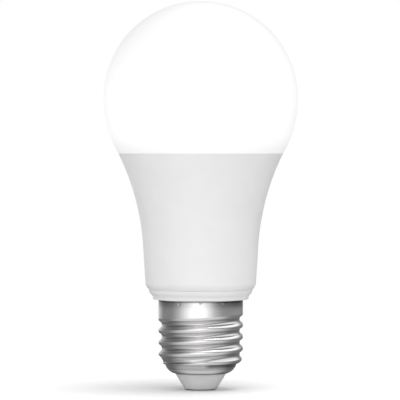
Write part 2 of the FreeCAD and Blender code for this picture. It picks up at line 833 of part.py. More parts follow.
def transformer():
    """An E core in two halves, a bobbin on its middle leg and the winding between the bobbin's flanges."""
    place = ("transformer_x", "transformer_y", "transformer_z")
    window = "(core_across - core_leg - 2 * core_side) / 2"
    window_tall = "core_tall - 2 * core_side"
    window_offset = f"(core_leg + {window}) / 2"
    frame = box("core_frame", *place, "core_across", "core_deep", "core_tall")
    windows = [
        box(
            f"core_window_{side}",
            f"transformer_x + {way} * {window_offset}",
            *place[1:],
            window,
            "core_deep * 2",
            window_tall,
        )
        for side, way in (("left", -1), ("right", 1))
    ]
    keep(less("transformer_core", frame, joined("Part::Compound", "core_windows", windows)))

    # The bobbin's tube and its two flanges, which reach back to the board.
    hole = ("core_leg + part_gap", "core_deep + part_gap", "core_tall")
    inside_tall = f"({window_tall} - part_gap)"
    tube_across = "core_leg + part_gap + 2 * bobbin_wall"
    tube_deep = "core_deep + part_gap + 2 * bobbin_wall"
    back_reach = "(-transformer_y - board_thick / 2 - part_gap / 2)"
    flange_y = f"transformer_y + {back_reach} - ({back_reach} + bobbin_flange_deep / 2) / 2"
    flanges = [
        box(
            f"bobbin_flange_{side}",
            "transformer_x",
            flange_y,
            f"transformer_z + {way} * ({inside_tall} - bobbin_wall) / 2",
            "bobbin_flange_across",
            f"{back_reach} + bobbin_flange_deep / 2",
            "bobbin_wall",
        )
        for side, way in (("lower", -1), ("upper", 1))
    ]
    tube = box("bobbin_tube", *place, tube_across, tube_deep, inside_tall)
    solid = joined("Part::MultiFuse", "bobbin_solid", [tube, *flanges])
    keep(less("transformer_bobbin", solid, box("bobbin_hole", *place, *hole)))

    turns_tall = f"({inside_tall} - 2 * bobbin_wall - part_gap)"
    turns = box("winding_block", *place, "winding_across", "winding_deep", turns_tall)
    rounded = softened("winding_rounded", turns, "core_side / 2", runs_upright)
    bore = (f"{tube_across} + part_gap", f"{tube_deep} + part_gap", "core_tall")
    keep(less("transformer_winding", rounded, box("winding_hole", *place, *bore)))


electrolytic("input_capacitor")
electrolytic("output_capacitor")
choke()
transformer()


def moulded(name):
    """A moulded block with soft edges."""
    return keep(softened(name, block(name, f"{name}_block"), "moulding_rounding"))


def lead_from(can_name, shift, end):
    """A lead from the foot or top of a round part on the board, bent over to the board's face."""
    x = size(f"{can_name}_x + {shift}")
    y = size(f"{can_name}_y")
    start = size(f"{can_name}_z") + (size(f"{can_name}_tall") if end > 0 else 0)
    bend_height = start + end * size("component_lead_drop")
    points = [
        FreeCAD.Vector(x, y, start),
        FreeCAD.Vector(x, y, bend_height),
        FreeCAD.Vector(x, math.copysign(board_back, y), bend_height),
    ]
    made = doc.addObject("Part::Feature", f"{can_name}_lead")
    made.Shape = round_wire(points, size("component_lead_bend"), size("component_lead_radius"))
    return made, (x, bend_height, -math.copysign(1, y))


def solder_joint(x, z, face):
    """A cone of solder on a face of the driver board: face is 1 at its back and -1 at its front."""
    cone = doc.addObject("Part::Cone", "solder_cone")
    turn = FreeCAD.Rotation(FreeCAD.Vector(1, 0, 0), -90 * face)
    cone.Placement = FreeCAD.Placement(FreeCAD.Vector(x, face * board_back, z), turn)
    return bind(cone, Radius1="solder_radius", Radius2="component_lead_radius", Height="solder_tall")


def chip_pins(name, above, below, wide):
    """The flat pins above and below a chip, at the given places across it."""
    ends = ((above, 1), (below, -1))
    return [
        box(
            f"{name}_pin",
            f"{name}_x + {place}",
            "board_thick / 2 + chip_pin_thick",
            f"{name}_z + {way} * ({name}_tall + chip_pin_long) / 2",
            wide,
            "chip_pin_thick",
            "chip_pin_long",
        )
        for places, way in ends
        for place in places
    ]


moulded("film_capacitor")
moulded("bridge_rectifier")
moulded("driver_chip")
for name in ("transistor_left", "transistor_right", "diode_low", "diode_high"):
    keep(block(name))
keep(softened("fuse_resistor", can("fuse_resistor", "fuse_resistor_can"), "sleeve_fold"))
varistor = pin_along_y(
    "varistor_disc", "varistor_x", "varistor_y", "varistor_z", "varistor_radius", "varistor_thick"
)
keep(softened("varistor", varistor, "varistor_thick / 4"))

# Wire leads of the through-board parts, and a cone of solder where each comes out of the board.
leads = []
joints = []
for name, shift, end in (
    ("input_capacitor", "-capacitor_lead_shift", -1),
    ("input_capacitor", "capacitor_lead_shift", -1),
    ("output_capacitor", "-capacitor_lead_shift", -1),
    ("output_capacitor", "capacitor_lead_shift", -1),
    ("choke", "-choke_lead_shift", -1),
    ("choke", "choke_lead_shift", -1),
    ("fuse_resistor", "0", -1),
    ("fuse_resistor", "0", 1),
):
    wire, joint = lead_from(name, shift, end)
    leads.append(wire)
    joints.append(joint)
for side in (-1, 1):
    pin_x = f"varistor_x + {side} * varistor_lead_shift"
    pin_long = "varistor_y - board_thick / 2"
    pin_size = ("component_lead_radius", pin_long)
    leads.append(pin_along_y("varistor_lead", pin_x, "board_thick / 2", "varistor_z", *pin_size))
    joints.append((size(pin_x), size("varistor_z"), -1))
    joints.append((size(f"film_capacitor_x + {side} * film_lead_shift"), size("film_capacitor_z"), 1))
    bobbin_pin_x = size(f"transformer_x + {side} * bobbin_pin_shift")
    joints.append((bobbin_pin_x, size("transformer_z - bobbin_pin_drop"), 1))
    joints.append((bobbin_pin_x, size("transformer_z + bobbin_pin_rise"), 1))
keep(joined("Part::Compound", "component_leads", leads))
keep(joined("Part::Compound", "solder_joints", [solder_joint(*joint) for joint in joints]))

row_of_four = (-1.905, -0.635, 0.635, 1.905)
row_of_two = (-1.27, 1.27)
transistor_pair = (-0.95, 0.95)
middle = (0.0,)
pins = chip_pins("driver_chip", row_of_four, row_of_four, "fine_pin_wide")
pins += chip_pins("bridge_rectifier", row_of_two, row_of_two, "bridge_pin_wide")
pins += chip_pins("transistor_left", middle, transistor_pair, "fine_pin_wide")
pins += chip_pins("transistor_right", middle, transistor_pair, "fine_pin_wide")
pins += chip_pins("diode_low", middle, middle, "diode_pin_wide")
pins += chip_pins("diode_high", middle, middle, "diode_pin_wide")
keep(joined("Part::Compound", "chip_pins", pins))

resistors = [block(f"chip_resistor_{number}") for number in range(len(CHIP_RESISTORS))]
keep(joined("Part::Compound", "chip_resistors", resistors))
capacitors = [block(f"chip_capacitor_{number}") for number in range(len(CHIP_CAPACITORS))]
keep(joined("Part::Compound", "chip_capacitors", capacitors))

# ---------------------------------------------------------------- pins between the boards


def row_of_pins(name, y, z, deep, tall, across="pin_across"):
    """Square pins side by side about the bulb's middle plane."""
    count = int(SIZES["pin_count"])
    places = [f"pin_pitch * {number - (count - 1) / 2}" for number in range(count)]
    pins = [box(f"{name}_{n}", place, y, z, across, deep, tall) for n, place in enumerate(places)]
    return joined("Part::Compound", name, pins)


def row_between(name, y, z, deep, tall):
    """The pins, and the wider holes for them in the mouldings that they pass through."""
    keep(row_of_pins(name, y, z, deep, tall))
    wide = "pin_across + part_gap"
    if deep == "pin_across":
        return row_of_pins(f"{name}_holes", y, z, wide, f"({tall}) * 1.01", wide)
    return row_of_pins(f"{name}_holes", y, z, f"({deep}) * 1.01", wide, wide)


header_tall = "(pin_top - driver_header_z + driver_header_tall / 2)"
header_middle = f"pin_top - {header_tall} / 2"
header_holes = row_between("header_pins", "driver_header_y", header_middle, "pin_across", header_tall)
keep(less("driver_header", block("driver_header", "driver_header_block"), header_holes))
keep(less("light_socket", block("light_socket", "light_socket_block"), header_holes))

radio_face = "(radio_board_y - radio_board_thick / 2)"
radio_pins_deep = f"({radio_face} - board_thick / 2)"
radio_pins_y = f"board_thick / 2 + {radio_pins_deep} / 2"
radio_row = (radio_pins_y, "radio_header_z", radio_pins_deep, "pin_across")
radio_holes = row_between("radio_header_pins", *radio_row)
keep(less("radio_header", block("radio_header", "radio_header_block"), radio_holes))

# ---------------------------------------------------------------- radio module, standing up into the globe


def radio_board():
    body = doc.addObject("PartDesign::Body", "radio_board")
    outline = rectangle(
        "0",
        "(radio_board_bottom + radio_board_top) / 2",
        "radio_board_half",
        "(radio_board_top - radio_board_bottom) / 2",
    )
    far_face = "-(radio_board_y + radio_board_thick / 2)"
    pad(body, "radio_outline", "XZ_Plane", far_face, "radio_board_thick", loops=[outline])
    keep(body)


def radio_can():
    """The shield over the radio's chips: a folded sheet box, open to the board."""
    middle = "(can_bottom + can_top) / 2"
    face = "(radio_board_y + radio_board_thick / 2)"
    outer_size = ("can_half * 2", "can_deep", "can_top - can_bottom")
    outer = box("can_outside", "0", f"{face} + can_deep / 2", middle, *outer_size)
    inner = box(
        "can_inside",
        "0",
        f"{face} + (can_deep - can_sheet) / 2 - part_gap",
        middle,
        "(can_half - can_sheet) * 2",
        "can_deep - can_sheet + 2 * part_gap",
        "can_top - can_bottom - 2 * can_sheet",
    )
    rounded = softened("can_rounded", outer, "can_sheet", lambda edge: edge.CenterOfMass.y > size(face) + 1)
    keep(less("radio_can", rounded, inner))


def radio_antenna():
    """A copper track on the radio board's back that goes to and fro above the light board."""
    runs = int(SIZES["antenna_runs"])
    step = "((antenna_top - antenna_bottom - antenna_track) / antenna_runs)"
    y = "radio_board_y + (radio_board_thick + antenna_thick) / 2"
    low = "(antenna_bottom + antenna_track / 2)"
    edge = "(antenna_half - antenna_track / 2)"
    size_of_run = ("antenna_half * 2", "antenna_thick", "antenna_track")
    tracks = [box(f"run_{n}", "0", y, f"{low} + {n} * {step}", *size_of_run) for n in range(runs + 1)]
    for n in range(runs):
        side = 1 if n % 2 else -1
        place = (f"{side} * {edge}", y, f"{low} + ({n} + 0.5) * {step}")
        size_of_turn = ("antenna_track", "antenna_thick", f"{step} + antenna_track")
        tracks.append(box(f"turn_{n}", *place, *size_of_turn))
    feed_tall = "(antenna_bottom - feed_bottom + antenna_track)"
    feed_place = (edge, y, f"feed_bottom + {feed_tall} / 2")
    tracks.append(box("feed", *feed_place, "antenna_track", "antenna_thick", feed_tall))
    keep(joined("Part::MultiFuse", "radio_antenna", tracks))


radio_board()
keep(block("radio_chip"))
keep(block("radio_crystal"))
radio_can()
radio_antenna()

# ---------------------------------------------------------------- jacket and heat sink


def flare_radius_at(height, outward="0"):
    """The radius at a height of an arc that runs a set distance inside the jacket's flare."""
    reach = f"(flare_radius + {outward})"
    return f"flare_centre_radius - sqrt({reach}^2 - ({height} - flare_centre_height)^2)"


# Jacket: the moulded outer shell, flared up to the seam, with a ledge for the spreader plate and the globe.
turned(
    "housing_jacket",
    [
        ("sole_bore_radius", "sole_height"),
        ("sole_radius", "sole_height"),
        ("heel_radius", "heel_height"),
        ("waist_radius", "waist_height"),
        ("seam_radius", "seam_height"),
        ("rim_pocket_radius", "seam_height"),
        ("rim_pocket_radius", "ledge_height"),
        ("spreader_radius + part_gap", "ledge_height"),
        ("spreader_radius + part_gap", SPREADER_BOTTOM),
        (flare_radius_at(SPREADER_BOTTOM, "jacket_wall"), SPREADER_BOTTOM),
        (flare_radius_at("cup_bottom", "jacket_wall"), "cup_bottom - part_gap"),
        ("sole_bore_radius", "cup_bottom - part_gap"),
    ],
    {1: "heel_arc", 3: "-flare_radius", 9: "flare_radius + jacket_wall"},
)

# Heat sink: a drawn aluminium cup, open below, pressed into the jacket.
cup_outside = "jacket_wall + part_gap"
cup_inside = "jacket_wall + part_gap + cup_wall"
turned(
    "heat_sink_cup",
    [
        (flare_radius_at("cup_bottom", cup_inside), "cup_bottom"),
        (flare_radius_at("cup_bottom", cup_outside), "cup_bottom"),
        (flare_radius_at(SPREADER_BOTTOM, cup_outside), SPREADER_BOTTOM),
        (flare_radius_at(SPREADER_BOTTOM, cup_inside), SPREADER_BOTTOM),
    ],
    {1: f"-flare_radius + {cup_outside}", 3: f"flare_radius + {cup_inside}"},
)

# ---------------------------------------------------------------- spreader plate, pad and light board


def round_plate(label, bottom, thick, radius):
    """A disc with three screw holes, a slot for the radio board and a window for the driver's pins."""
    body = doc.addObject("PartDesign::Body", label)
    slot = rectangle("0", "radio_board_y", "radio_slot_half", "radio_slot_deep / 2")
    window = rectangle("0", "driver_header_y", "pin_window_half", "pin_window_deep / 2")
    screw_holes = [(x, y, "screw_hole_radius") for _, x, y in ring_places("screw_ring_radius", 3, 30)]
    circles = [("0", "0", radius), *screw_holes]
    pad(body, f"{label}_disc", "XY_Plane", bottom, thick, loops=[slot, window], circles=circles)
    keep(body)


round_plate("heat_spreader", SPREADER_BOTTOM, "spreader_thick", "spreader_radius")
round_plate("thermal_pad", "ledge_height", "pad_thick", "light_board_radius")
round_plate("light_board", "ledge_height + pad_thick", "light_board_thick", "light_board_radius")


def led_ring(kind, first_angle):
    """Half of the LEDs, evenly round the light board: the frames, and the phosphor set into them."""
    cup_floor = f"{LIGHT_BOARD_TOP} + led_tall - phosphor_depth"
    frame = rectangle("led_ring_radius", "0", "led_short / 2", "led_long / 2")
    cup = rectangle("led_ring_radius", "0", "phosphor_short / 2", "phosphor_long / 2")
    for part, bottom, tall, outline in (
        ("frames", LIGHT_BOARD_TOP, "led_tall", frame),
        ("phosphor", cup_floor, "phosphor_depth", cup),
    ):
        body = doc.addObject("PartDesign::Body", f"{kind}_led_{part}")
        body.AllowCompound = True
        features = [pad(body, f"{kind}_{part}_block", "XY_Plane", bottom, tall, loops=[outline])]
        if part == "frames":
            features.append(pocket(body, f"{kind}_cup", "XY_Plane", cup_floor, "phosphor_depth", loops=[cup]))
        repeated(body, f"{kind}_{part}_ring", features, "led_count / 2")
        body.Placement.Rotation = FreeCAD.Rotation(FreeCAD.Vector(0, 0, 1), first_angle)
        keep(body)


led_ring("warm", 0.0)
led_ring("cool", 360.0 / SIZES["led_count"])


def board_screw(number, x, y):
    """A thread-forming screw with a domed head and a cross recess."""
    body = turned(
        f"board_screw_{number}",
        [
            ("0", "-screw_length"),
            ("screw_shank_radius", "-screw_length + screw_shank_radius"),
            ("screw_shank_radius", "0"),
            ("screw_head_radius", "0"),
            ("screw_head_radius", "screw_head_tall / 2"),
            ("screw_head_radius / 2", "screw_head_tall"),
            ("0", "screw_head_tall"),
        ],
        {4: "screw_head_radius"},
    )
    slot = ("screw_head_radius / 2", "screw_recess_width / 2")
    for half_sides in (slot, slot[::-1]):
        pocket(
            body,
            f"recess_{number}",
            "XY_Plane",
            "screw_head_tall - screw_recess_depth",
            "screw_recess_depth * 2",
            loops=[rectangle("0", "0", *half_sides)],
        )
    bind(body, Placement__Base__x=x, Placement__Base__y=y, Placement__Base__z=LIGHT_BOARD_TOP)


for number, (_, x, y) in enumerate(ring_places("screw_ring_radius", 3, 30), start=1):
    board_screw(number, x, y)

# ---------------------------------------------------------------- globe

# The bead of sealant that bonds the globe's rim to the jacket's ledge.
turned(
    "globe_sealant",
    [
        ("spreader_radius + 1.5 * part_gap", "ledge_height"),
        ("rim_pocket_radius - part_gap / 2", "ledge_height"),
        ("rim_pocket_radius - part_gap / 2", "spigot_bottom - part_gap"),
        ("spreader_radius + 1.5 * part_gap", "spigot_bottom - part_gap"),
    ],
)


def lower_globe_radius(height, wall="0"):
    """The radius of the globe's lower arc at a height below its widest line."""
    centre = "(globe_radius - globe_lower_radius)"
    drop = f"(bulb_height - globe_radius - ({height}))"
    return f"{centre} + sqrt((globe_lower_radius - {wall})^2 - {drop}^2)"


# Globe: a blown milky diffuser, a half sphere above and a fuller arc below. Its rim plugs into the jacket.
globe_middle = "bulb_height - globe_radius"
rim_edge = "seam_height + seam_gap"
turned(
    "globe",
    [
        ("spigot_radius - spigot_wall", "spigot_bottom"),
        ("spigot_radius", "spigot_bottom"),
        ("spigot_radius", rim_edge),
        (lower_globe_radius(rim_edge), rim_edge),
        ("globe_radius", globe_middle),
        ("0", "bulb_height"),
        ("0", "bulb_height - globe_wall"),
        ("globe_radius - globe_wall", globe_middle),
        (lower_globe_radius(f"{rim_edge} + globe_wall", "globe_wall"), f"{rim_edge} + globe_wall"),
        ("spigot_radius - spigot_wall", f"{rim_edge} + globe_wall"),
    ],
    {
        3: "globe_lower_radius",
        4: "globe_radius",
        6: "-globe_radius - globe_wall",
        7: "-globe_lower_radius - globe_wall",
    },
)

# ---------------------------------------------------------------- check and write

doc.recompute()
failed = [thing.Name for thing in doc.Objects if {"Invalid", "Error"} & set(thing.State)]
if failed:
    raise RuntimeError(f"these objects failed: {failed}")
for thing in kept:
    if thing.Shape.isNull() or not thing.Shape.isValid():
        raise RuntimeError(f"{thing.Label} has no valid shape")

os.makedirs("parts", exist_ok=True)
for thing in kept:
    thing.Shape.exportStep(os.path.join("parts", f"{thing.Label}.step"))
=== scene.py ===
from math import atan2, ceil, cos, hypot, pi, radians, sin, tan

import bpy
import numpy as np
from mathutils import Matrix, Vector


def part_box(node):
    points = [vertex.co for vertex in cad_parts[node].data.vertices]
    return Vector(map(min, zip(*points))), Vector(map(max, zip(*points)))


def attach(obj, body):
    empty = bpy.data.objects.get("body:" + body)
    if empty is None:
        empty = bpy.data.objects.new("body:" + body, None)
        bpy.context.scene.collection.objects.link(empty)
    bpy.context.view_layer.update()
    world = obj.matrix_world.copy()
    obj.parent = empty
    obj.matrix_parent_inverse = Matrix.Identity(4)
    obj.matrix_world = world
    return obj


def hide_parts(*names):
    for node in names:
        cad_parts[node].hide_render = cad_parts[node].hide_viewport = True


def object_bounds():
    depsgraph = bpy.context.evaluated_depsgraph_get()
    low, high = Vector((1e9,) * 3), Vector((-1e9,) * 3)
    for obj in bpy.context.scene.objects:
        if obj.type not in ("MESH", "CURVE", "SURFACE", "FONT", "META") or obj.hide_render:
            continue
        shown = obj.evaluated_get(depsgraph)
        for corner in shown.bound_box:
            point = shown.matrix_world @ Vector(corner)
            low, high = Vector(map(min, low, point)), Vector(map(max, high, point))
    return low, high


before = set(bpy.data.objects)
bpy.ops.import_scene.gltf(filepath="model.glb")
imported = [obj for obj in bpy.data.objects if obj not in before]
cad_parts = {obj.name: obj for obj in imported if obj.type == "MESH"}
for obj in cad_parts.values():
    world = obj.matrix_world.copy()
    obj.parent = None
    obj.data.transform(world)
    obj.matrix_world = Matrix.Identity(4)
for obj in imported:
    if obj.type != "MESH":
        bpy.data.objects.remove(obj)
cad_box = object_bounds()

# ---------------------------------------------------------------------------------------
# Centre contact. A tinned brass button, stamped to a shallow dome, with a stem that goes
# up through the glass. The live lead is soldered to its top, inside the cap.
# ---------------------------------------------------------------------------------------

MM = 0.001
ROUND_STEPS = 192
ARC_STEP = radians(4)
SHARP_FROM = radians(38)


def corners_of(node):
    """A frame node's lowest and highest corners, in millimetres."""
    low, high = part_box(node)
    return low / MM, high / MM


def along_arc(centre, start, end, step=ARC_STEP):
    """Points of a profile on an arc round centre, from start to end the short way."""
    radius = hypot(start[0] - centre[0], start[1] - centre[1])
    first = atan2(start[1] - centre[1], start[0] - centre[0])
    turn = (atan2(end[1] - centre[1], end[0] - centre[0]) - first + pi) % (2 * pi) - pi
    count = max(2, ceil(abs(turn) / step))
    angles = [first + turn * share / count for share in range(count + 1)]
    return [(centre[0] + radius * cos(a), centre[1] + radius * sin(a)) for a in angles]


def rounded(outline, edges):
    """The outline with each corner listed in edges, {place in the outline: radius}, rounded off."""
    points = []
    for place, corner in enumerate(outline):
        if place not in edges:
            points.append(corner)
            continue
        here = np.array(corner)
        before = np.array(outline[place - 1]) - here
        after = np.array(outline[(place + 1) % len(outline)]) - here
        before /= np.linalg.norm(before)
        after /= np.linalg.norm(after)
        half = np.arccos(np.clip(before @ after, -1, 1)) / 2
        reach = edges[place] / tan(half)
        centre = here + (before + after) / np.linalg.norm(before + after) * edges[place] / sin(half)
        points += along_arc(centre, here + before * reach, here + after * reach, radians(12))
    return points


def mesh_piece(name, points, faces):
    """An object of these points, in millimetres, with smooth faces and sharp edges."""
    mesh = bpy.data.meshes.new(name)
    mesh.from_pydata((np.array(points) * MM).tolist(), [], faces)
    mesh.validate()
    mesh.shade_smooth()
    mesh.set_sharp_from_angle(angle=SHARP_FROM)
    piece = bpy.data.objects.new(name, mesh)
    bpy.context.scene.collection.objects.link(piece)
    return piece


def turned(name, outline, steps=ROUND_STEPS):
    """A closed outline of (radius, height) points, anticlockwise, turned once round the Z axis."""
    points = []
    rings = []
    for radius, height in outline:
        count = steps if radius > 1e-6 else 1
        rings.append([len(points) + step for step in range(count)])
        turns = [2 * pi * step / steps for step in range(count)]
        points += [(radius * cos(turn), radius * sin(turn), height) for turn in turns]
    faces = []
    for ring, following in zip(rings, rings[1:] + rings[:1]):
        if len(ring) == len(following) == 1:
            continue
        for step in range(steps):
            along = (step + 1) % steps
            corners = [ring[step % len(ring)], ring[along % len(ring)],
                       following[along % len(following)], following[step % len(following)]]
            faces.append(list(dict.fromkeys(corners)))
    return mesh_piece(name, points, faces)


def node(tree, kind, inputs=None, **settings):
    """A shader node with its settings, and with numbers or links on its inputs."""
    made = tree.nodes.new("ShaderNode" + kind)
    for name, value in settings.items():
        setattr(made, name, value)
    for name, value in (inputs or {}).items():
        if isinstance(value, bpy.types.NodeSocket):
            tree.links.new(value, made.inputs[name])
        else:
            made.inputs[name].default_value = value
    return made


def mapped(tree, value, old, new=(0, 1), interpolation="LINEAR"):
    """A value carried from its old range to a new one. A bound of the new one can be a link."""
    bounds = {"From Min": old[0], "From Max": old[1], "To Min": new[0], "To Max": new[1]}
    return node(tree, "MapRange", {"Value": value, **bounds}, interpolation_type=interpolation).outputs[0]


def worked_out(tree, operation, *values):
    """The answer of a Math node to these numbers or links."""
    return node(tree, "Math", dict(enumerate(values)), operation=operation).outputs[0]


def mixed(tree, share, first, second, blend="MIX"):
    """Two colours, mixed with this share of the second."""
    return node(tree, "Mix", {0: share, 6: first, 7: second}, data_type="RGBA", blend_type=blend).outputs[2]


def own_place(tree):
    """A place on the piece, in metres from the piece's own origin."""
    return node(tree, "TexCoord").outputs["Object"]


def new_group(name, inputs, outputs):
    """A shader node group with these named sockets: its tree, input sockets and output sockets."""
    tree = bpy.data.node_groups.new(name, "ShaderNodeTree")
    for label, value in inputs.items():
        kind = "NodeSocketColor" if isinstance(value, tuple) else "NodeSocketFloat"
        tree.interface.new_socket(label, in_out="INPUT", socket_type=kind).default_value = value
    for label, kind in outputs.items():
        tree.interface.new_socket(label, in_out="OUTPUT", socket_type="NodeSocket" + kind)
    return tree, tree.nodes.new("NodeGroupInput").outputs, tree.nodes.new("NodeGroupOutput").inputs


def new_material(name, **shader_values):
    """A material, its tree and its Principled shader, with constants set on the shader's sockets."""
    made = bpy.data.materials.new(name)
    made.use_nodes = True
    shader = made.node_tree.nodes["Principled BSDF"]
    for label, value in shader_values.items():
        shader.inputs[label.replace("_", " ")].default_value = value
    return made, made.node_tree, shader


def placed_group(tree, group, **inputs):
    """A node group placed in a material with its own values."""
    placed = tree.nodes.new("ShaderNodeGroup")
    placed.node_tree = group
    for label, value in inputs.items():
        placed.inputs[label.replace("_", " ")].default_value = value
    return placed.outputs


def feed(tree, shader, made, distance):
    """Links a group's colour, roughness and height to a shader, with the bump this deep, in metres."""
    tree.links.new(made["Color"], shader.inputs["Base Color"])
    tree.links.new(made["Roughness"], shader.inputs["Roughness"])
    bump = node(tree, "Bump", {"Height": made["Height"], "Distance": distance})
    tree.links.new(bump.outputs["Normal"], shader.inputs["Normal"])


def show(piece, slot, material, *nodes):
    """Puts the material on a piece that stands for these nodes, and rides it on the bulb."""
    piece.data.materials.append(material)
    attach(piece, "root")
    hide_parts(*nodes)


# Turned metal: fine drawing lines round the axis, a haze from handling, and dull stained patches.
turned_metal, given, put = new_group(
    "turned_metal",
    {"Metal": (0.7, 0.7, 0.7, 1), "Stain": (0.4, 0.4, 0.4, 1), "Line Scale": 5000.0,
     "Shine": 0.2, "Dull": 0.4, "Stained": 0.3},
    {"Color": "Color", "Roughness": "Float", "Height": "Float"},
)
place = own_place(turned_metal)
split = node(turned_metal, "SeparateXYZ", {"Vector": place}).outputs
round_axis = worked_out(turned_metal, "ARCTAN2", split["Y"], split["X"])
line_place = node(turned_metal, "CombineXYZ", {"X": round_axis, "Y": split["Z"]}).outputs[0]
line_scale = node(turned_metal, "CombineXYZ", {"X": 0.9, "Y": given["Line Scale"]}).outputs[0]
stretched = node(turned_metal, "Mapping", {"Vector": line_place, "Scale": line_scale}).outputs[0]
drawing = node(turned_metal, "TexNoise", {"Vector": stretched, "Scale": 1.0, "Detail": 3.0}).outputs["Fac"]
haze = node(turned_metal, "TexNoise", {"Vector": place, "Scale": 240.0, "Detail": 5.0, "Roughness": 0.6})
patches = node(turned_metal, "TexNoise", {"Vector": place, "Scale": 900.0, "Detail": 4.0}).outputs["Fac"]
soiled = mapped(turned_metal, patches, (0.45, 0.75), (0, given["Stained"]))
metal_rough = mapped(turned_metal, haze.outputs["Fac"], (0.3, 0.7), (given["Shine"], given["Dull"]))
turned_metal.links.new(mixed(turned_metal, soiled, given["Metal"], given["Stain"]), put["Color"])
turned_metal.links.new(metal_rough, put["Roughness"])
turned_metal.links.new(drawing, put["Height"])

contact_metal, tree, shader = new_material("darkened_tinned_brass", Metallic=1.0)
# The metal is coloured far darker than tinned brass: painted shade and a painted dark reflection under the
# cap.
made = placed_group(tree, turned_metal, Metal=(0.22, 0.215, 0.2, 1), Stain=(0.1, 0.09, 0.075, 1),
                    Line_Scale=3000.0, Shine=0.3, Dull=0.5, Stained=0.5)
feed(tree, shader, made, 4e-6)

CONTACT_FLAT = 2.1
CONTACT_DOME = 11.29
CONTACT_EDGE = 0.34
CONTACT_RIM = 0.45
STEM_RADIUS = 1.2
STEM_ROUNDING = 0.25
low, high = corners_of("centre_contact")
outline = [(0, low.z)]
outline += along_arc((CONTACT_FLAT, low.z + CONTACT_DOME), (CONTACT_FLAT, low.z),
                     (high.x, low.z + CONTACT_EDGE))
outline += rounded([(high.x, low.z + CONTACT_RIM), (STEM_RADIUS, low.z + CONTACT_RIM),
                    (STEM_RADIUS, high.z), (0, high.z)], {2: STEM_ROUNDING})
contact = turned("contact_button", outline)
show(contact, "contact_metal", contact_metal, "centre_contact")

# ---------------------------------------------------------------------------------------
# Cap insulator. A cone of pale glass, pressed hot into the shell's lower edge, which grips
# its flange. The contact sits in its narrow end.
# ---------------------------------------------------------------------------------------

# Moulded surface: a faint flow mottle in the colour and shine, over the fine grain of the mould.
moulded, given, put = new_group(
    "moulded_surface",
    {"Base": (0.8, 0.8, 0.8, 1), "Shade": (0.7, 0.7, 0.7, 1), "Mottle Scale": 120.0,
     "Grain Scale": 4000.0, "Shine": 0.3, "Dull": 0.45},
    {"Color": "Color", "Roughness": "Float", "Height": "Float"},
)
place = own_place(moulded)
flow = node(moulded, "TexNoise", {"Vector": place, "Scale": given["Mottle Scale"], "Detail": 3.0})
grain = node(moulded, "TexNoise", {"Vector": place, "Scale": given["Grain Scale"], "Detail": 2.0})
mottle = mapped(moulded, flow.outputs["Fac"], (0.3, 0.7))
moulded.links.new(mixed(moulded, mottle, given["Base"], given["Shade"]), put["Color"])
moulded.links.new(mapped(moulded, grain.outputs["Fac"], (0.35, 0.65), (given["Shine"], given["Dull"])),
                  put["Roughness"])
moulded.links.new(grain.outputs["Fac"], put["Height"])

cap_glass, tree, shader = new_material("cap_glass", IOR=1.5)
made = placed_group(tree, moulded, Base=(0.66, 0.66, 0.66, 1), Shade=(0.62, 0.62, 0.63, 1),
                    Mottle_Scale=300.0, Grain_Scale=1500.0, Shine=0.3, Dull=0.42)
feed(tree, shader, made, 1e-5)

CONE_FOOT_RADIUS = 5.05
CONE_HEAD_RADIUS = 7.85
CONE_HEIGHT = 4.5
LIP_GRIP = 4.98
FLANGE_THICKNESS = 1.0
SHOULDER_CENTRE = (7.271, 8.820)
low, high = corners_of("cap_insulator")
grip = (CONE_HEAD_RADIUS, low.z + LIP_GRIP)
outline = rounded([(STEM_RADIUS, low.z), (CONE_FOOT_RADIUS, low.z),
                   (CONE_HEAD_RADIUS, low.z + CONE_HEIGHT), grip], {1: 0.12})
outline += along_arc(SHOULDER_CENTRE, grip, (high.x, high.z - FLANGE_THICKNESS))[1:]
outline += [(high.x, high.z), (STEM_RADIUS, high.z)]
insulator = turned("glass_insulator", outline)
show(insulator, "cap_glass", cap_glass, "cap_insulator")

# ---------------------------------------------------------------------------------------
# Screw shell. Nickel-plated sheet, drawn to a cup, with the thread rolled into it. Twelve
# punched dents in the plain band above the thread hold it on the collar.
# ---------------------------------------------------------------------------------------

SHELL_RADIUS = 13.1
ROOT_RADIUS = 12.03
SHEET = 0.3
PITCH = 25.4 / 7
TOP_VALLEY = 21.91
THREAD_TOP = 25.0
THREAD_COLUMNS = 216
THREAD_ROWS = 134
RUN_OUT = 0.5
LIP_RADIUS = 8.0
NECK = (11.0, 7.9)
TAPER_HEIGHTS = [NECK[1], 8.36, 9.27, 11.0]
TAPER_CRESTS = [11.55, 12.3, 12.7, SHELL_RADIUS]
FULL_DEPTH_HEIGHT = 9.5
BAND_SHARE = 3
PLAIN_HEIGHTS = [25.12, 25.5, 25.8]
DENTED_HEIGHTS = (26.3, 27.5, 13)
DENTS = 12
DENT_HEIGHT = 26.95
DENT_RADIUS = 0.62
DENT_DEPTH = 0.09
low, high = corners_of("screw_shell")

thread_depth = SHELL_RADIUS - ROOT_RADIUS
round_radius = ((PITCH / 2) ** 2 + thread_depth ** 2) / (4 * thread_depth)


def smooth(share):
    """A smooth step from 0 to 1 as share goes from 0 to 1."""
    share = np.clip(share, 0, 1)
    return share * share * (3 - 2 * share)


def groove_share(away):
    """How much of the thread's depth is cut at this height away from the middle of the nearest valley."""
    valley = round_radius - np.sqrt(round_radius ** 2 - np.minimum(away, PITCH / 4) ** 2)
    crest = round_radius - np.sqrt(round_radius ** 2 - np.minimum(PITCH / 2 - away, PITCH / 4) ** 2)
    return 1 - np.where(away < PITCH / 4, valley, thread_depth - crest) / thread_depth


def thread_radius(turn, height, crest, root):
    """The shell's outer radius at a turn round the axis, 0 to 1, where crest and root bound the thread."""
    winding = (height - TOP_VALLEY) / PITCH - turn
    nearest = np.round(winding)
    cut = groove_share(np.abs(winding - nearest) * PITCH)
    fade = 1 - smooth((nearest + turn) / RUN_OUT)
    return crest - (crest - root) * cut * fade


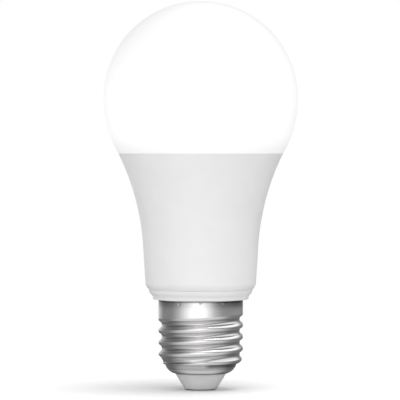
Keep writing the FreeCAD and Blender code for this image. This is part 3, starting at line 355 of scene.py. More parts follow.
shoulder = along_arc(SHOULDER_CENTRE, (LIP_RADIUS, low.z), NECK)
thread_heights = np.linspace(NECK[1], THREAD_TOP, THREAD_ROWS)[1:]
heights = np.array([point[1] for point in shoulder] + list(thread_heights))
crests = np.interp(thread_heights, TAPER_HEIGHTS, TAPER_CRESTS)
roots = np.interp(thread_heights, [NECK[1], FULL_DEPTH_HEIGHT], [NECK[0], ROOT_RADIUS])
crests = np.array([point[0] for point in shoulder] + list(crests))
roots = np.array([point[0] for point in shoulder] + list(roots))

turns = np.arange(THREAD_COLUMNS) / THREAD_COLUMNS
points = []
faces = []
for height, crest, root in zip(heights, crests, roots):
    radii = thread_radius(turns, height, crest, root)
    points += [(r * cos(2 * pi * t), r * sin(2 * pi * t), height) for r, t in zip(radii, turns)]
for row in range(len(heights) - 1):
    for column in range(THREAD_COLUMNS):
        across = (column + 1) % THREAD_COLUMNS
        here = row * THREAD_COLUMNS
        faces.append((here + column, here + across, here + THREAD_COLUMNS + across,
                      here + THREAD_COLUMNS + column))

band_columns = THREAD_COLUMNS * BAND_SHARE
band_heights = PLAIN_HEIGHTS + list(np.linspace(*DENTED_HEIGHTS)) + [high.z]
last_row = len(points) - THREAD_COLUMNS
band_start = len(points)
for height in band_heights:
    for column in range(band_columns):
        turn = column / band_columns
        from_dent = ((turn * DENTS + 0.5) % 1 - 0.5) * 2 * pi * SHELL_RADIUS / DENTS
        away = hypot(from_dent, height - DENT_HEIGHT) / DENT_RADIUS
        radius = SHELL_RADIUS - DENT_DEPTH * (1 - smooth(away))
        points.append((radius * cos(2 * pi * turn), radius * sin(2 * pi * turn), height))
for column in range(THREAD_COLUMNS):
    across = (column + 1) % THREAD_COLUMNS
    first = band_start + column * BAND_SHARE
    last = band_start + across * BAND_SHARE
    faces.append((last_row + column, first + 1, first))
    faces.append((last_row + column, last_row + across, first + 2, first + 1))
    faces.append((last_row + across, last, first + 2))
for row in range(len(band_heights) - 1):
    here = band_start + row * band_columns
    for column in range(band_columns):
        across = (column + 1) % band_columns
        faces.append((here + column, here + across, here + band_columns + across,
                      here + band_columns + column))

shell = mesh_piece("rolled_shell", points, faces)
sheet = shell.modifiers.new("sheet", "SOLIDIFY")
sheet.thickness = SHEET * MM
sheet.offset = -1

nickel, tree, shader = new_material("nickel_plate", Metallic=1.0)
made = placed_group(tree, turned_metal, Metal=(0.8, 0.79, 0.79, 1), Stain=(0.6, 0.58, 0.56, 1),
                    Line_Scale=4000.0, Shine=0.16, Dull=0.21, Stained=0.08)
feed(tree, shader, made, 2e-6)


def grey(tree, level):
    """A grey colour of this level."""
    return node(tree, "CombineColor", {"Red": level, "Green": level, "Blue": level}).outputs[0]


# Painted shade and a painted dark reflection under the collar's edge, down to a near-black line at the top of
# the band. It thins out down the band, and is thinnest in front and heaviest at the right.
COLLAR_SHADE_FOOT = 24
COLLAR_SHADE_LEVELS = ((0.0, 1.0), (0.26, 0.97), (0.45, 0.88), (0.59, 0.75), (0.85, 0.6), (0.9, 0.1), (1.0, 0.03))
up = node(tree, "SeparateXYZ", {"Vector": own_place(tree)}).outputs["Z"]
collar_shade_ramp = node(tree, "ValToRGB", {"Fac": mapped(tree, up, (COLLAR_SHADE_FOOT * MM, high.z * MM))})
stops = collar_shade_ramp.color_ramp.elements
for share, level in COLLAR_SHADE_LEVELS:
    stops.new(share).color = (level, level, level, 1)
stops.remove(stops[0])
stops.remove(stops[-1])
level_place = node(tree, "VectorMath", {0: own_place(tree), 1: (1, 1, 0)}, operation="MULTIPLY").outputs[0]
from_axis = node(tree, "VectorMath", {0: level_place}, operation="LENGTH").outputs["Value"]
outward = node(tree, "VectorMath", {0: level_place}, operation="NORMALIZE").outputs[0]
forward = node(tree, "VectorMath", {0: outward, 1: (0, -1, 0)}, operation="DOT_PRODUCT").outputs["Value"]
rightward = node(tree, "SeparateXYZ", {"Vector": outward}).outputs["X"]
# The painted shade is made heavier away from the front and towards the right.
collar_shade_weight = worked_out(tree, "MULTIPLY", mapped(tree, forward, (0.55, 0.98), (1.7, 0.6)),
                      mapped(tree, rightward, (0.2, 0.47), (1.0, 1.75)))
collar_shade_level = worked_out(tree, "POWER", collar_shade_ramp.outputs["Color"], collar_shade_weight)
collar_shaded = mixed(tree, 1.0, made["Color"], grey(tree, collar_shade_level), "MULTIPLY")

# Painted shade in the thread's valleys down to a foot that is left unshaded, more of it at the right of the
# last valley, and a painted shadow line along the rolled lip.
valley_shade = mapped(tree, from_axis, (12.1 * MM, 12.8 * MM), (0.72, 1.0), "SMOOTHSTEP")
unshaded_foot = mapped(tree, up, (6.5 * MM, 6.9 * MM), (1.0, 0.0))
above_foot = mapped(tree, up, (6.9 * MM, 7.7 * MM))
below_turn = mapped(tree, up, (8.6 * MM, 8.3 * MM))
at_right = mapped(tree, rightward, (0.08, 0.25))
last_valley_shade = worked_out(tree, "MULTIPLY", worked_out(tree, "MULTIPLY", above_foot, below_turn), at_right)
valley_and_lip_shade = worked_out(tree, "MULTIPLY", worked_out(tree, "MAXIMUM", valley_shade, unshaded_foot),
                        mapped(tree, last_valley_shade, (0, 1), (1.0, 0.35)))
# A painted shadow line along the rolled lip.
lip = mapped(tree, up, (5.2 * MM, 5.75 * MM), (0.1, 1.0))
valley_and_lip_shade = worked_out(tree, "MULTIPLY", valley_and_lip_shade, lip)
# The shell's colour darkened by the painted shade in its valleys and along its lip.
shaded_nickel = mixed(tree, 1.0, collar_shaded, grey(tree, valley_and_lip_shade), "MULTIPLY")
tree.links.new(shaded_nickel, shader.inputs["Base Color"])
show(shell, "shell_metal", nickel, "screw_shell")

# ---------------------------------------------------------------------------------------
# Mains leads. Tinned copper cores in silicone sleeves, red up from the contact's stem and
# white from a blob of solder inside the shell. Both are soldered to the driver board.
# ---------------------------------------------------------------------------------------


def metal_finish(name, metal, stain, line_scale, shine, dull, stained):
    """A bare metal of the turned metal group, with its drawing lines this many to the metre."""
    finish, tree, shader = new_material(name, Metallic=1.0)
    look = placed_group(tree, turned_metal, Metal=(*metal, 1), Stain=(*stain, 1), Line_Scale=line_scale,
                        Shine=shine, Dull=dull, Stained=stained)
    feed(tree, shader, look, 3e-6)
    return finish


def moulded_finish(name, base, shade, mottle_scale, grain_scale, shine, dull, **shader_values):
    """A plastic, rubber or ceramic of the moulded surface group."""
    finish, tree, shader = new_material(name, **shader_values)
    look = placed_group(tree, moulded, Base=(*base, 1), Shade=(*shade, 1), Mottle_Scale=mottle_scale,
                        Grain_Scale=grain_scale, Shine=shine, Dull=dull)
    feed(tree, shader, look, 8e-6)
    return finish


def finish_nodes(material, *nodes):
    """Puts the material on frame nodes that keep their own shape."""
    for name in nodes:
        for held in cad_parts[name].material_slots:
            held.material = material


tinned_copper = metal_finish("tinned_copper", (0.56, 0.55, 0.53), (0.4, 0.38, 0.34), 2500.0, 0.2, 0.36, 0.35)
finish_nodes(tinned_copper, "live_lead_core", "neutral_lead_core")
red_silicone = moulded_finish("red_silicone", (0.34, 0.014, 0.011), (0.25, 0.01, 0.008), 350.0, 6000.0,
                              0.42, 0.6)
finish_nodes(red_silicone, "live_lead_sleeve")
white_silicone = moulded_finish("white_silicone", (0.75, 0.75, 0.72), (0.66, 0.66, 0.62), 350.0, 6000.0,
                                0.42, 0.6)
finish_nodes(white_silicone, "neutral_lead_sleeve")
bright_solder = metal_finish("bright_solder", (0.62, 0.62, 0.63), (0.4, 0.4, 0.39), 900.0, 0.12, 0.38, 0.55)
finish_nodes(bright_solder, "side_solder")

# ---------------------------------------------------------------------------------------
# Collar. White moulded plastic: a land that shows between jacket and shell, a grip inside
# the shell's band, and a tenon that plugs the jacket's bore.
# ---------------------------------------------------------------------------------------

white_plastic, tree, shader = new_material("white_plastic", IOR=1.5)
made = placed_group(tree, moulded, Base=(0.74, 0.74, 0.74, 1), Shade=(0.72, 0.72, 0.72, 1),
                    Mottle_Scale=150.0, Grain_Scale=5000.0, Shine=0.36, Dull=0.46)
feed(tree, shader, made, 4e-6)

COLLAR_BORE = 10.35
SPIGOT_RADIUS = 11.6
GRIP_RADIUS = 12.7
GRIP_FOOT = 24.4
COLLAR_FOOT_RADIUS = 14.8
COLLAR_UNDER = 28.0
TENON_RADIUS = 15.45
TENON_BORE = 14.5
SEAT_HEIGHT = 31.12
COLLAR_FLOOR = 31.3
low, high = corners_of("base_collar")
outline = rounded([
    (COLLAR_BORE, low.z), (SPIGOT_RADIUS, low.z), (SPIGOT_RADIUS, GRIP_FOOT), (GRIP_RADIUS, GRIP_FOOT),
    (GRIP_RADIUS, COLLAR_UNDER), (COLLAR_FOOT_RADIUS, COLLAR_UNDER), (COLLAR_FOOT_RADIUS, 28.85),
    (14.95, 29.13), (15.68, 29.86), (15.85, 30.25), (high.x, SEAT_HEIGHT), (TENON_RADIUS, SEAT_HEIGHT),
    (TENON_RADIUS, high.z), (TENON_BORE, high.z), (TENON_BORE, COLLAR_FLOOR), (COLLAR_BORE, COLLAR_FLOOR),
], {5: 0.25, 6: 0.3, 7: 0.3, 8: 0.3, 9: 0.5, 10: 0.06, 12: 0.3, 13: 0.2})
collar = turned("collar_moulding", outline)
show(collar, "collar_plastic", white_plastic, "base_collar")

# ---------------------------------------------------------------------------------------
# Driver sleeve. A tube of natural white flame-proof nylon round the driver, moulded with a
# guide down each side for the board and three posts for the screws.
# ---------------------------------------------------------------------------------------

flame_proof_nylon = moulded_finish("flame_proof_nylon", (0.7, 0.7, 0.65), (0.62, 0.62, 0.57), 110.0, 3500.0,
                                   0.4, 0.56)
finish_nodes(flame_proof_nylon, "driver_sleeve")

# ---------------------------------------------------------------------------------------
# Driver board. Glass-cloth board under a green solder mask, routed to a narrow tail that
# goes down into the cap. Its copper shows through the mask, with tinned pads between.
# ---------------------------------------------------------------------------------------

# Printed board: a mask over copper tracks and the cloth's weave, with tinned pads left bare.
printed_board, given, put = new_group(
    "printed_board",
    {"Mask": (0.02, 0.2, 0.08, 1), "Track": (0.05, 0.32, 0.12, 1), "Pad": (0.6, 0.6, 0.58, 1),
     "Weave Scale": 1500.0, "Track Scale": 260.0, "Area Scale": 180.0, "Pad Scale": 380.0},
    {"Color": "Color", "Roughness": "Float", "Height": "Float"},
)
split = node(printed_board, "SeparateXYZ", {"Vector": own_place(printed_board)}).outputs
flat = node(printed_board, "CombineXYZ", {
    "X": split["X"], "Y": worked_out(printed_board, "ADD", split["Y"], split["Z"])}).outputs[0]


def stripes(direction, scale):
    """Even stripes across the board in this direction."""
    wave = node(printed_board, "TexWave", {"Vector": flat, "Scale": given[scale]}, bands_direction=direction)
    return wave.outputs["Fac"]


weave = worked_out(printed_board, "MULTIPLY", stripes("X", "Weave Scale"), stripes("Y", "Weave Scale"))
areas = node(printed_board, "TexVoronoi", {"Vector": flat, "Scale": given["Area Scale"]},
             distance="CHEBYCHEV")
choice = node(printed_board, "SeparateColor", {"Color": areas.outputs["Color"]}).outputs
crossways = worked_out(printed_board, "GREATER_THAN", choice["Red"], 0.5)
poured = worked_out(printed_board, "GREATER_THAN", choice["Green"], 0.62)
runs = node(printed_board, "Mix", {"Factor": crossways, "A": stripes("X", "Track Scale"),
                                   "B": stripes("Y", "Track Scale")}).outputs[0]
tracks = worked_out(printed_board, "MAXIMUM", mapped(printed_board, runs, (0.55, 0.65)), poured)
spots = node(printed_board, "TexVoronoi", {"Vector": flat, "Scale": given["Pad Scale"]}).outputs["Distance"]
pads = mapped(printed_board, spots, (0.14, 0.17), (1.0, 0.0))
masked = mixed(printed_board, tracks, given["Mask"], given["Track"])
printed_board.links.new(mixed(printed_board, pads, masked, given["Pad"]), put["Color"])
printed_board.links.new(mapped(printed_board, weave, (0, 1), (0.24, 0.4)), put["Roughness"])
printed_board.links.new(worked_out(printed_board, "MULTIPLY_ADD", weave, 0.25, tracks), put["Height"])


def board_finish(name, mask, track, weave_scale, track_scale, area_scale, pad_scale):
    """A solder-masked board of the printed board group."""
    finish, tree, shader = new_material(name, Coat_Weight=0.3, Coat_Roughness=0.2)
    look = placed_group(tree, printed_board, Mask=(*mask, 1), Track=(*track, 1), Weave_Scale=weave_scale,
                        Track_Scale=track_scale, Area_Scale=area_scale, Pad_Scale=pad_scale)
    feed(tree, shader, look, 2e-5)
    return finish


green_mask = board_finish("green_mask", (0.012, 0.16, 0.06), (0.025, 0.24, 0.085), 1500.0, 330.0, 190.0,
                          380.0)
finish_nodes(green_mask, "driver_board")
finish_nodes(bright_solder, "solder_joints")
finish_nodes(tinned_copper, "component_leads", "chip_pins")

# ---------------------------------------------------------------------------------------
# Electrolytic capacitors. Aluminium cans, beaded near the foot to hold the rubber bung, in a
# dark shrink sleeve that leaves the scored top bare. The taller one's foot is in the cap.
# ---------------------------------------------------------------------------------------

shrink_sleeve, tree, shader = new_material("shrink_sleeve", Coat_Weight=0.4, Coat_Roughness=0.25)
look = placed_group(tree, moulded, Base=(0.012, 0.014, 0.03, 1), Shade=(0.02, 0.024, 0.045, 1),
                    Mottle_Scale=260.0, Grain_Scale=2500.0, Shine=0.28, Dull=0.42)
feed(tree, shader, look, 8e-6)
facing_up = node(tree, "SeparateXYZ", {"Vector": node(tree, "TexCoord").outputs["Normal"]}).outputs["Z"]
bare_top = mapped(tree, facing_up, (0.96, 0.98))
spun_top = placed_group(tree, turned_metal, Metal=(0.72, 0.72, 0.73, 1), Stain=(0.5, 0.5, 0.5, 1))
tree.links.new(mixed(tree, bare_top, look["Color"], spun_top["Color"]), shader.inputs["Base Color"])
tree.links.new(bare_top, shader.inputs["Metallic"])
finish_nodes(shrink_sleeve, "input_capacitor", "output_capacitor")

# ---------------------------------------------------------------------------------------
# Choke. A drum of dark ferrite, pressed and fired, with enamelled copper wound side by side
# in its waist.
# ---------------------------------------------------------------------------------------

# Wound turns: round turns or tape edges side by side up the Z axis, with painted shade in the grooves
# between.
wound_turns, given, put = new_group(
    "wound_turns",
    {"Turn": (0.6, 0.2, 0.06, 1), "Groove": (0.2, 0.06, 0.02, 1), "Turn Scale": 700.0, "Shine": 0.2,
     "Dull": 0.4},
    {"Color": "Color", "Roughness": "Float", "Height": "Float"},
)
place = own_place(wound_turns)
turns_up = node(wound_turns, "TexWave", {"Vector": place, "Scale": given["Turn Scale"], "Distortion": 0.4,
                                         "Detail": 2.0}, bands_direction="Z").outputs["Fac"]
varnish = node(wound_turns, "TexNoise", {"Vector": place, "Scale": 700.0, "Detail": 3.0}).outputs["Fac"]
between = mapped(wound_turns, turns_up, (0.0, 0.5), (1.0, 0.0))
wound_turns.links.new(mixed(wound_turns, between, given["Turn"], given["Groove"]), put["Color"])
wound_turns.links.new(mapped(wound_turns, varnish, (0.3, 0.7), (given["Shine"], given["Dull"])),
                      put["Roughness"])
wound_turns.links.new(turns_up, put["Height"])

dark_ferrite = moulded_finish("dark_ferrite", (0.028, 0.028, 0.03), (0.045, 0.043, 0.042), 900.0, 5000.0,
                              0.45, 0.7)
finish_nodes(dark_ferrite, "choke_core", "transformer_core")
enamelled_copper, tree, shader = new_material("enamelled_copper", Metallic=0.8)
# The groove colour is painted shade between the wire's turns.
look = placed_group(tree, wound_turns, Turn=(0.6, 0.2, 0.07, 1), Groove=(0.16, 0.045, 0.015, 1),
                    Turn_Scale=800.0)
feed(tree, shader, look, 1e-4)
finish_nodes(enamelled_copper, "choke_winding")

# ---------------------------------------------------------------------------------------
# Transformer. Two ferrite E halves round a black phenolic bobbin. The winding on the bobbin
# is wrapped in yellow polyester tape, whose edges show as fine steps.
# ---------------------------------------------------------------------------------------

black_phenolic = moulded_finish("black_phenolic", (0.018, 0.018, 0.018), (0.03, 0.029, 0.028), 500.0,
                                4500.0, 0.4, 0.58)
finish_nodes(black_phenolic, "transformer_bobbin")
yellow_tape, tree, shader = new_material("yellow_tape", Coat_Weight=0.5, Coat_Roughness=0.15)
# The groove colour is painted shade at the tape's edges.
look = placed_group(tree, wound_turns, Turn=(0.75, 0.42, 0.03, 1), Groove=(0.55, 0.27, 0.015, 1),
                    Turn_Scale=140.0, Shine=0.25, Dull=0.4)
feed(tree, shader, look, 3e-5)
finish_nodes(yellow_tape, "transformer_winding")

# ---------------------------------------------------------------------------------------
# Dipped and lacquered parts. The film capacitor and the surge disc are dipped in epoxy, and
# the wire-wound fuse resistor is lacquered and ringed with its four value bands.
# ---------------------------------------------------------------------------------------

for name, base, shade, dipped in (
    ("red_epoxy", (0.35, 0.03, 0.012), (0.28, 0.022, 0.01), "film_capacitor"),
    ("blue_epoxy", (0.008, 0.045, 0.24), (0.006, 0.034, 0.18), "varistor"),
):
    epoxy = moulded_finish(name, base, shade, 450.0, 1800.0, 0.12, 0.3, Coat_Weight=0.6, Coat_Roughness=0.08)
    finish_nodes(epoxy, dipped)

low, high = corners_of("fuse_resistor")
lacquer, tree, shader = new_material("banded_lacquer", Coat_Weight=0.5, Coat_Roughness=0.12)
look = placed_group(tree, moulded, Base=(0.1, 0.22, 0.14, 1), Shade=(0.075, 0.17, 0.11, 1),
                    Mottle_Scale=500.0, Grain_Scale=2200.0, Shine=0.2, Dull=0.35)
feed(tree, shader, look, 1e-5)
BAND_WIDTH = 0.08
VALUE_BANDS = ((0.18, (0.16, 0.05, 0.012)), (0.34, (0.01, 0.01, 0.01)), (0.5, (0.02, 0.02, 0.02)),
               (0.74, (0.55, 0.36, 0.08)))
up_body = node(tree, "SeparateXYZ", {"Vector": own_place(tree)}).outputs["Z"]
ringed = node(tree, "ValToRGB", {"Fac": mapped(tree, up_body, (low.z * MM, high.z * MM))})
ringed.color_ramp.interpolation = "CONSTANT"
bands = ringed.color_ramp.elements
bands[0].color = bands[1].color = (0, 0, 0, 0)
for start, colour in VALUE_BANDS:
    bands.new(start).color = (*colour, 1)
    bands.new(start + BAND_WIDTH).color = (0, 0, 0, 0)
painted = mixed(tree, ringed.outputs["Alpha"], look["Color"], ringed.outputs["Color"])
tree.links.new(painted, shader.inputs["Base Color"])
finish_nodes(lacquer, "fuse_resistor")

# ---------------------------------------------------------------------------------------
# Chips. Packages of black epoxy, moulded round their pins, and the small square-ended
# resistors and tan ceramic capacitors that are soldered flat on the board's back.
# ---------------------------------------------------------------------------------------

black_epoxy = moulded_finish("black_epoxy", (0.016, 0.016, 0.018), (0.026, 0.026, 0.028), 700.0, 9000.0, 0.45,
                             0.62)
finish_nodes(black_epoxy, "driver_chip", "bridge_rectifier", "transistor_left", "transistor_right",
             "diode_low", "diode_high", "chip_resistors", "radio_chip")
tan_ceramic = moulded_finish("tan_ceramic", (0.27, 0.16, 0.085), (0.21, 0.12, 0.06), 1200.0, 6000.0, 0.3, 0.5)
finish_nodes(tan_ceramic, "chip_capacitors")

# ---------------------------------------------------------------------------------------
# Headers. Rows of gold-flashed brass pins through black mouldings on the driver board, and
# the natural white socket on the light board that the longer row plugs into.
# ---------------------------------------------------------------------------------------

gold_flash = metal_finish("gold_flash", (0.78, 0.53, 0.17), (0.55, 0.34, 0.1), 4500.0, 0.14, 0.3, 0.2)
finish_nodes(gold_flash, "header_pins", "radio_header_pins")
black_nylon = moulded_finish("black_nylon", (0.02, 0.02, 0.02), (0.03, 0.03, 0.03), 400.0, 5000.0, 0.38, 0.55)
finish_nodes(black_nylon, "driver_header", "radio_header")
white_nylon = moulded_finish("white_nylon", (0.76, 0.72, 0.6), (0.68, 0.64, 0.52), 300.0, 5000.0, 0.35, 0.5)
finish_nodes(white_nylon, "light_socket")

# ---------------------------------------------------------------------------------------
# Radio module. A thin board under a dark blue mask that stands up into the globe, clear of the
# metal. A tinned sheet can shields its chip and crystal, and its aerial is a copper track.
# ---------------------------------------------------------------------------------------

blue_mask = board_finish("blue_mask", (0.006, 0.02, 0.1), (0.012, 0.04, 0.16), 2000.0, 620.0, 330.0, 620.0)
finish_nodes(blue_mask, "radio_board")
tinned_sheet = metal_finish("tinned_sheet", (0.64, 0.64, 0.65), (0.46, 0.46, 0.45), 1600.0, 0.2, 0.36, 0.3)
finish_nodes(tinned_sheet, "radio_can", "radio_crystal")
masked_copper = metal_finish("masked_copper", (0.72, 0.34, 0.13), (0.45, 0.2, 0.07), 3000.0, 0.2, 0.34, 0.4)
finish_nodes(masked_copper, "radio_antenna")

# ---------------------------------------------------------------------------------------
# Heat sink. A cup drawn from soft aluminium sheet, with the fine rings of the drawing tool on
# it, which the jacket is moulded round. The spreader plate above it is pressed from the same.
# ---------------------------------------------------------------------------------------

drawn_aluminium = metal_finish("drawn_aluminium", (0.66, 0.67, 0.68), (0.5, 0.5, 0.5), 1800.0, 0.28, 0.46,
                               0.35)
finish_nodes(drawn_aluminium, "heat_sink_cup", "heat_spreader")

# ---------------------------------------------------------------------------------------
# Housing jacket. The flared white body, moulded in one piece over the aluminium cup. The
# globe's rim drops into a pocket in its upper edge.
# ---------------------------------------------------------------------------------------

FLARE_CENTRE = (92.634, 39.706)
WAIST = (17.73, 43.5)
HEEL_RADIUS = 3.2
FOOT_BORE = 15.6
BODY_THICKNESS = 1.6
POCKET_RADIUS = 22.9
POCKET_FLOOR = 69.5
LEDGE_RADIUS = 21.9
LEDGE_UNDER = 68.3
FLARE_INNER_TOP = (POCKET_RADIUS, 66.5)
FOOT_BORE_TOP = 34.2
low, high = corners_of("housing_jacket")
sole = (16.18, low.z)
heel = (17.17, low.z + 2.3)
brim = (high.x, high.z)
outline = rounded([(FOOT_BORE, low.z + 0.3), (FOOT_BORE, low.z), sole, heel], {1: 0.15, 2: 0.1})[1:-1]
outline += along_arc((heel[0] - HEEL_RADIUS, heel[1]), (heel[0] - 0.95, heel[1] - 2.2), heel)
outline += along_arc(FLARE_CENTRE, WAIST, brim, radians(0.4))
outline += rounded([brim, (POCKET_RADIUS, brim[1]), (POCKET_RADIUS, POCKET_FLOOR),
                    (LEDGE_RADIUS, POCKET_FLOOR)], {1: 0.2})[1:]
flare = along_arc(FLARE_CENTRE, WAIST, FLARE_INNER_TOP, radians(1))
inner = [(radius - BODY_THICKNESS, height) for radius, height in flare]
outline += [(LEDGE_RADIUS, LEDGE_UNDER)] + inner[::-1] + [(FOOT_BORE, FOOT_BORE_TOP)]
jacket = turned("jacket_moulding", outline)
show(jacket, "jacket_plastic", white_plastic, "housing_jacket")

# ---------------------------------------------------------------------------------------
# Light board. An aluminium-cored disc under a white mask, screwed down on a soft grey-blue
# silicone pad with three zinc-plated steel screws.
# ---------------------------------------------------------------------------------------

silicone_pad = moulded_finish("silicone_pad", (0.26, 0.34, 0.4), (0.2, 0.28, 0.34), 600.0, 3000.0, 0.6, 0.8)
finish_nodes(silicone_pad, "thermal_pad")
white_mask = board_finish("white_mask", (0.84, 0.84, 0.81), (0.79, 0.79, 0.75), 1200.0, 200.0, 120.0, 240.0)
finish_nodes(white_mask, "light_board")
zinc_plate = metal_finish("zinc_plate", (0.56, 0.57, 0.58), (0.4, 0.4, 0.36), 5500.0, 0.22, 0.4, 0.4)
finish_nodes(zinc_plate, "board_screw_1", "board_screw_2", "board_screw_3")

# ---------------------------------------------------------------------------------------
# LEDs. Ten warm and ten cool ones by turns round the board: white reflector frames, soldered
# on, and filled with silicone full of amber or lemon phosphor grains.
# ---------------------------------------------------------------------------------------

reflector_white = moulded_finish("reflector_white", (0.84, 0.82, 0.74), (0.78, 0.76, 0.68), 900.0, 7000.0,
                                 0.3, 0.45)
finish_nodes(reflector_white, "warm_led_frames", "cool_led_frames")
for name, base, shade, filled in (
    ("amber_phosphor", (0.84, 0.36, 0.03), (0.72, 0.28, 0.02), "warm_led_phosphor"),
    ("lemon_phosphor", (0.84, 0.74, 0.13), (0.74, 0.63, 0.09), "cool_led_phosphor"),
):
    phosphor = moulded_finish(name, base, shade, 2500.0, 14000.0, 0.25, 0.5, IOR=1.41)
    finish_nodes(phosphor, filled)

# ---------------------------------------------------------------------------------------
# Sealant. A bead of white silicone, laid in the jacket's pocket before the globe is pushed
# in, which bonds the globe's rim to the ledge.
# ---------------------------------------------------------------------------------------

white_sealant = moulded_finish("white_sealant", (0.8, 0.8, 0.77), (0.74, 0.74, 0.7), 500.0, 2500.0,
                               0.35, 0.55)
finish_nodes(white_sealant, "globe_sealant")

# ---------------------------------------------------------------------------------------
# Globe. Opal plastic, blown in one piece, that spreads the LEDs' light and is shown glowing with
# it, a little less towards its rim, crown and outline. Sealant holds its rim in the jacket.
# ---------------------------------------------------------------------------------------

low, high = corners_of("globe")
GLOBE_RADIUS = high.x
GLOBE_MIDDLE = high.z - GLOBE_RADIUS
LOWER_CENTRE = (-4, GLOBE_MIDDLE)
LOWER_RADIUS = GLOBE_RADIUS - LOWER_CENTRE[0]
WALL = 1.3
PLUG_BORE = 21.6
PLUG_RADIUS = 22.8
RIM_LEDGE = 73.02
RIM_RADIUS = LOWER_CENTRE[0] + (LOWER_RADIUS ** 2 - (GLOBE_MIDDLE - RIM_LEDGE) ** 2) ** 0.5
equator = (GLOBE_RADIUS, GLOBE_MIDDLE)
inner_equator = (GLOBE_RADIUS - WALL, GLOBE_MIDDLE)
top = (0, high.z)
inner_drop = ((LOWER_RADIUS - WALL) ** 2 - (PLUG_BORE - LOWER_CENTRE[0]) ** 2) ** 0.5
inner_rim = (PLUG_BORE, GLOBE_MIDDLE - inner_drop)
outline = rounded([(PLUG_BORE, low.z), (PLUG_RADIUS, low.z), (PLUG_RADIUS, RIM_LEDGE),
                   (RIM_RADIUS, RIM_LEDGE), (RIM_RADIUS + 0.6, RIM_LEDGE + 0.8)],
                  {0: 0.15, 1: 0.15, 3: 0.1})[:-1]
outline += along_arc(LOWER_CENTRE, (RIM_RADIUS, RIM_LEDGE), equator, radians(1.5))[1:-1]
outline += along_arc((0, GLOBE_MIDDLE), equator, top, radians(1.8))
outline += along_arc((0, GLOBE_MIDDLE), (0, high.z - WALL), inner_equator, radians(3))
outline += along_arc(LOWER_CENTRE, inner_equator, inner_rim, radians(3))[1:]
globe = turned("opal_globe", outline)

opal, tree, shader = new_material("opal_plastic", IOR=1.5, Coat_Weight=0.3, Coat_Roughness=0.12,
                                  Coat_IOR=1.02, Coat_Tint=(0.8, 0.8, 0.8, 1), Emission_Strength=1.0)
made = placed_group(tree, moulded, Base=(0.31, 0.31, 0.31, 1), Shade=(0.30, 0.30, 0.30, 1),
                    Mottle_Scale=80.0, Grain_Scale=6000.0, Shine=0.4, Dull=0.5)
feed(tree, shader, made, 2e-6)
up = node(tree, "SeparateXYZ", {"Vector": own_place(tree)}).outputs["Z"]
near_rim = mapped(tree, up, (RIM_LEDGE * MM, 79 * MM), (0.73, 0.84), "SMOOTHSTEP")
near_crown = mapped(tree, up, (88 * MM, 118 * MM), (1.0, 0.73), "SMOOTHSTEP")
glow = worked_out(tree, "MULTIPLY", near_rim, near_crown)
tree.links.new(grey(tree, glow), shader.inputs["Emission Color"])
show(globe, "globe_plastic", opal, "globe")

# ---------------------------------------------------------------------------------------
# Studio. A pale floor in a soft white room, with one lamp high on the right. What the metal
# mirrors, a bright front and dim sides, is set apart from the light that falls on everything.
# ---------------------------------------------------------------------------------------

FLOOR_RADIUS = 0.3
FLOOR_CORNERS = 96
turns = [2 * pi * step / FLOOR_CORNERS for step in range(FLOOR_CORNERS)]
mesh = bpy.data.meshes.new("floor")
mesh.from_pydata([(FLOOR_RADIUS * cos(turn), FLOOR_RADIUS * sin(turn), 0) for turn in turns], [],
                 [list(range(FLOOR_CORNERS))])
floor = bpy.data.objects.new("floor", mesh)
bpy.context.scene.collection.objects.link(floor)
floor.location.z = cad_box[0].z

floor_paint, tree, shader = new_material("floor_paint", Roughness=0.7)
place = own_place(tree)
grain = node(tree, "TexNoise", {"Vector": place, "Scale": 40.0}).outputs["Fac"]
tree.links.new(grey(tree, mapped(tree, grain, (0, 1), (0.86, 0.88))), shader.inputs["Base Color"])
toned = node(tree, "BsdfDiffuse", {"Color": (0.72, 0.72, 0.72, 1)}).outputs[0]
from_axis = node(tree, "VectorMath", {0: place}, operation="LENGTH").outputs["Value"]
across = node(tree, "SeparateXYZ", {"Vector": place}).outputs
backward = worked_out(tree, "DIVIDE", across["Y"], from_axis)
mirrored = worked_out(tree, "MULTIPLY", mapped(tree, backward, (-1.0, 0.1), (0.85, 0.22), "SMOOTHSTEP"),
                      mapped(tree, from_axis, (0.012, 0.028), (0.8, 1.0)))
card = node(tree, "Emission", {"Strength": mirrored}).outputs[0]
rays = node(tree, "LightPath").outputs
bounced = node(tree, "MixShader", {0: rays["Is Glossy Ray"], 1: toned, 2: card}).outputs[0]
top_side = node(tree, "MixShader", {0: rays["Is Camera Ray"], 1: bounced, 2: shader.outputs[0]}).outputs[0]
clear = node(tree, "BsdfTransparent").outputs[0]
beneath = node(tree, "NewGeometry").outputs["Backfacing"]
one_sided = node(tree, "MixShader", {0: beneath, 1: top_side, 2: clear})
tree.links.new(one_sided.outputs[0], tree.nodes["Material Output"].inputs["Surface"])
floor.data.materials.append(floor_paint)

scene = bpy.context.scene
scene.view_settings.view_transform = "Standard"
world = bpy.data.worlds.new("studio")
scene.world = world
world.use_nodes = True
tree = world.node_tree
tree.nodes.clear()
outlook = node(tree, "TexCoord").outputs["Generated"]
toward = node(tree, "SeparateXYZ", {"Vector": outlook}).outputs
bearing = worked_out(tree, "ARCTAN2", toward["X"], worked_out(tree, "MULTIPLY", toward["Y"], -1.0))


def ramp_round(levels):
    """A brightness that changes with the bearing, listed in degrees to the right of the front."""
    ramp = node(tree, "ValToRGB", {"Fac": mapped(tree, bearing, (-pi, pi))})
    stops = ramp.color_ramp.elements
    while len(stops) < len(levels):
        stops.new(0.5)
    for stop, (degrees, level) in zip(stops, levels):
        stop.position = (degrees + 180) / 360
        stop.color = (level, level, level, 1)
    return ramp.outputs["Color"]


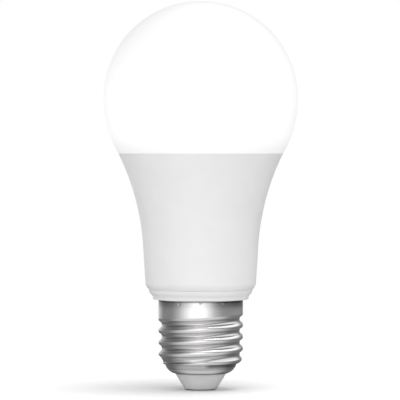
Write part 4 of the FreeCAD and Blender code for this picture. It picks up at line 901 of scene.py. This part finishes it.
room = ramp_round([(-180, 0.6), (-100, 0.52), (-50, 0.74), (-20, 1.18), (10, 1.14), (45, 0.67), (90, 0.49),
                   (180, 0.6)])
ring = ramp_round([
    (-180, 0.42), (-160, 0.38), (-141, 0.26), (-121, 0.13), (-82, 0.14), (-62, 0.25), (-36, 0.6), (-15, 0.95),
    (0, 0.95), (22, 0.54), (39, 0.23), (60, 0.11), (90, 0.16), (126, 0.17), (150, 0.12), (180, 0.42)])
overhead = mapped(tree, toward["Z"], (0.3, 0.9), (1.3, 1.7))
level_band = mapped(tree, worked_out(tree, "ABSOLUTE", toward["Z"]), (0.1, 0.4), (2.1, 1.0), "SMOOTHSTEP")
low_light = worked_out(tree, "MULTIPLY", ring, level_band)
to_key = node(tree, "VectorMath", {0: outlook, 1: (0.5, 0.1, 0.86)}, operation="DOT_PRODUCT").outputs["Value"]
key_light = mapped(tree, to_key, (0.45, 0.85), (0.14, 1.3), "SMOOTHSTEP")
studio_light = worked_out(tree, "MAXIMUM", low_light, key_light)
lit_room = node(tree, "Background", {"Color": room, "Strength": overhead}).outputs[0]
lit_mirror = node(tree, "Background", {"Color": (1, 1, 1, 1), "Strength": studio_light}).outputs[0]
backdrop = node(tree, "Background", {"Color": (1, 1, 1, 1), "Strength": 1.0}).outputs[0]
path = node(tree, "LightPath").outputs
by_kind = node(tree, "MixShader", {0: path["Is Glossy Ray"], 1: lit_room, 2: lit_mirror}).outputs[0]
seen = node(tree, "MixShader", {0: path["Is Camera Ray"], 1: by_kind, 2: backdrop}).outputs[0]
tree.links.new(seen, node(tree, "OutputWorld").inputs["Surface"])

lamp = bpy.data.lights.new("softbox", "AREA")
lamp.shape = "DISK"
lamp.size = 0.3
lamp.energy = 1.35
softbox = bpy.data.objects.new("softbox", lamp)
scene.collection.objects.link(softbox)

camera = bpy.data.objects.new("camera", bpy.data.cameras.new("camera"))
scene.collection.objects.link(camera)
scene.camera = camera


def stand(thing, bearing, distance, height, aim):
    """Stands a light or camera at a bearing to the right of the front, looking at a height on the axis."""
    thing.location = (distance * sin(radians(bearing)), -distance * cos(radians(bearing)), height)
    thing.rotation_euler = (pi / 2 - atan2(height - aim, distance), 0, radians(bearing))


CAMERA_DISTANCE = 0.95
FIELD_WIDTH = 0.1235
SENSOR_WIDTH = 36
stand(softbox, 75, 0.09, 0.56, 0.03)
stand(camera, 0, CAMERA_DISTANCE, 0.0775, 0.0586)
camera.location.x = -0.00022
camera.data.sensor_width = SENSOR_WIDTH
camera.data.lens = SENSOR_WIDTH / (FIELD_WIDTH / CAMERA_DISTANCE)
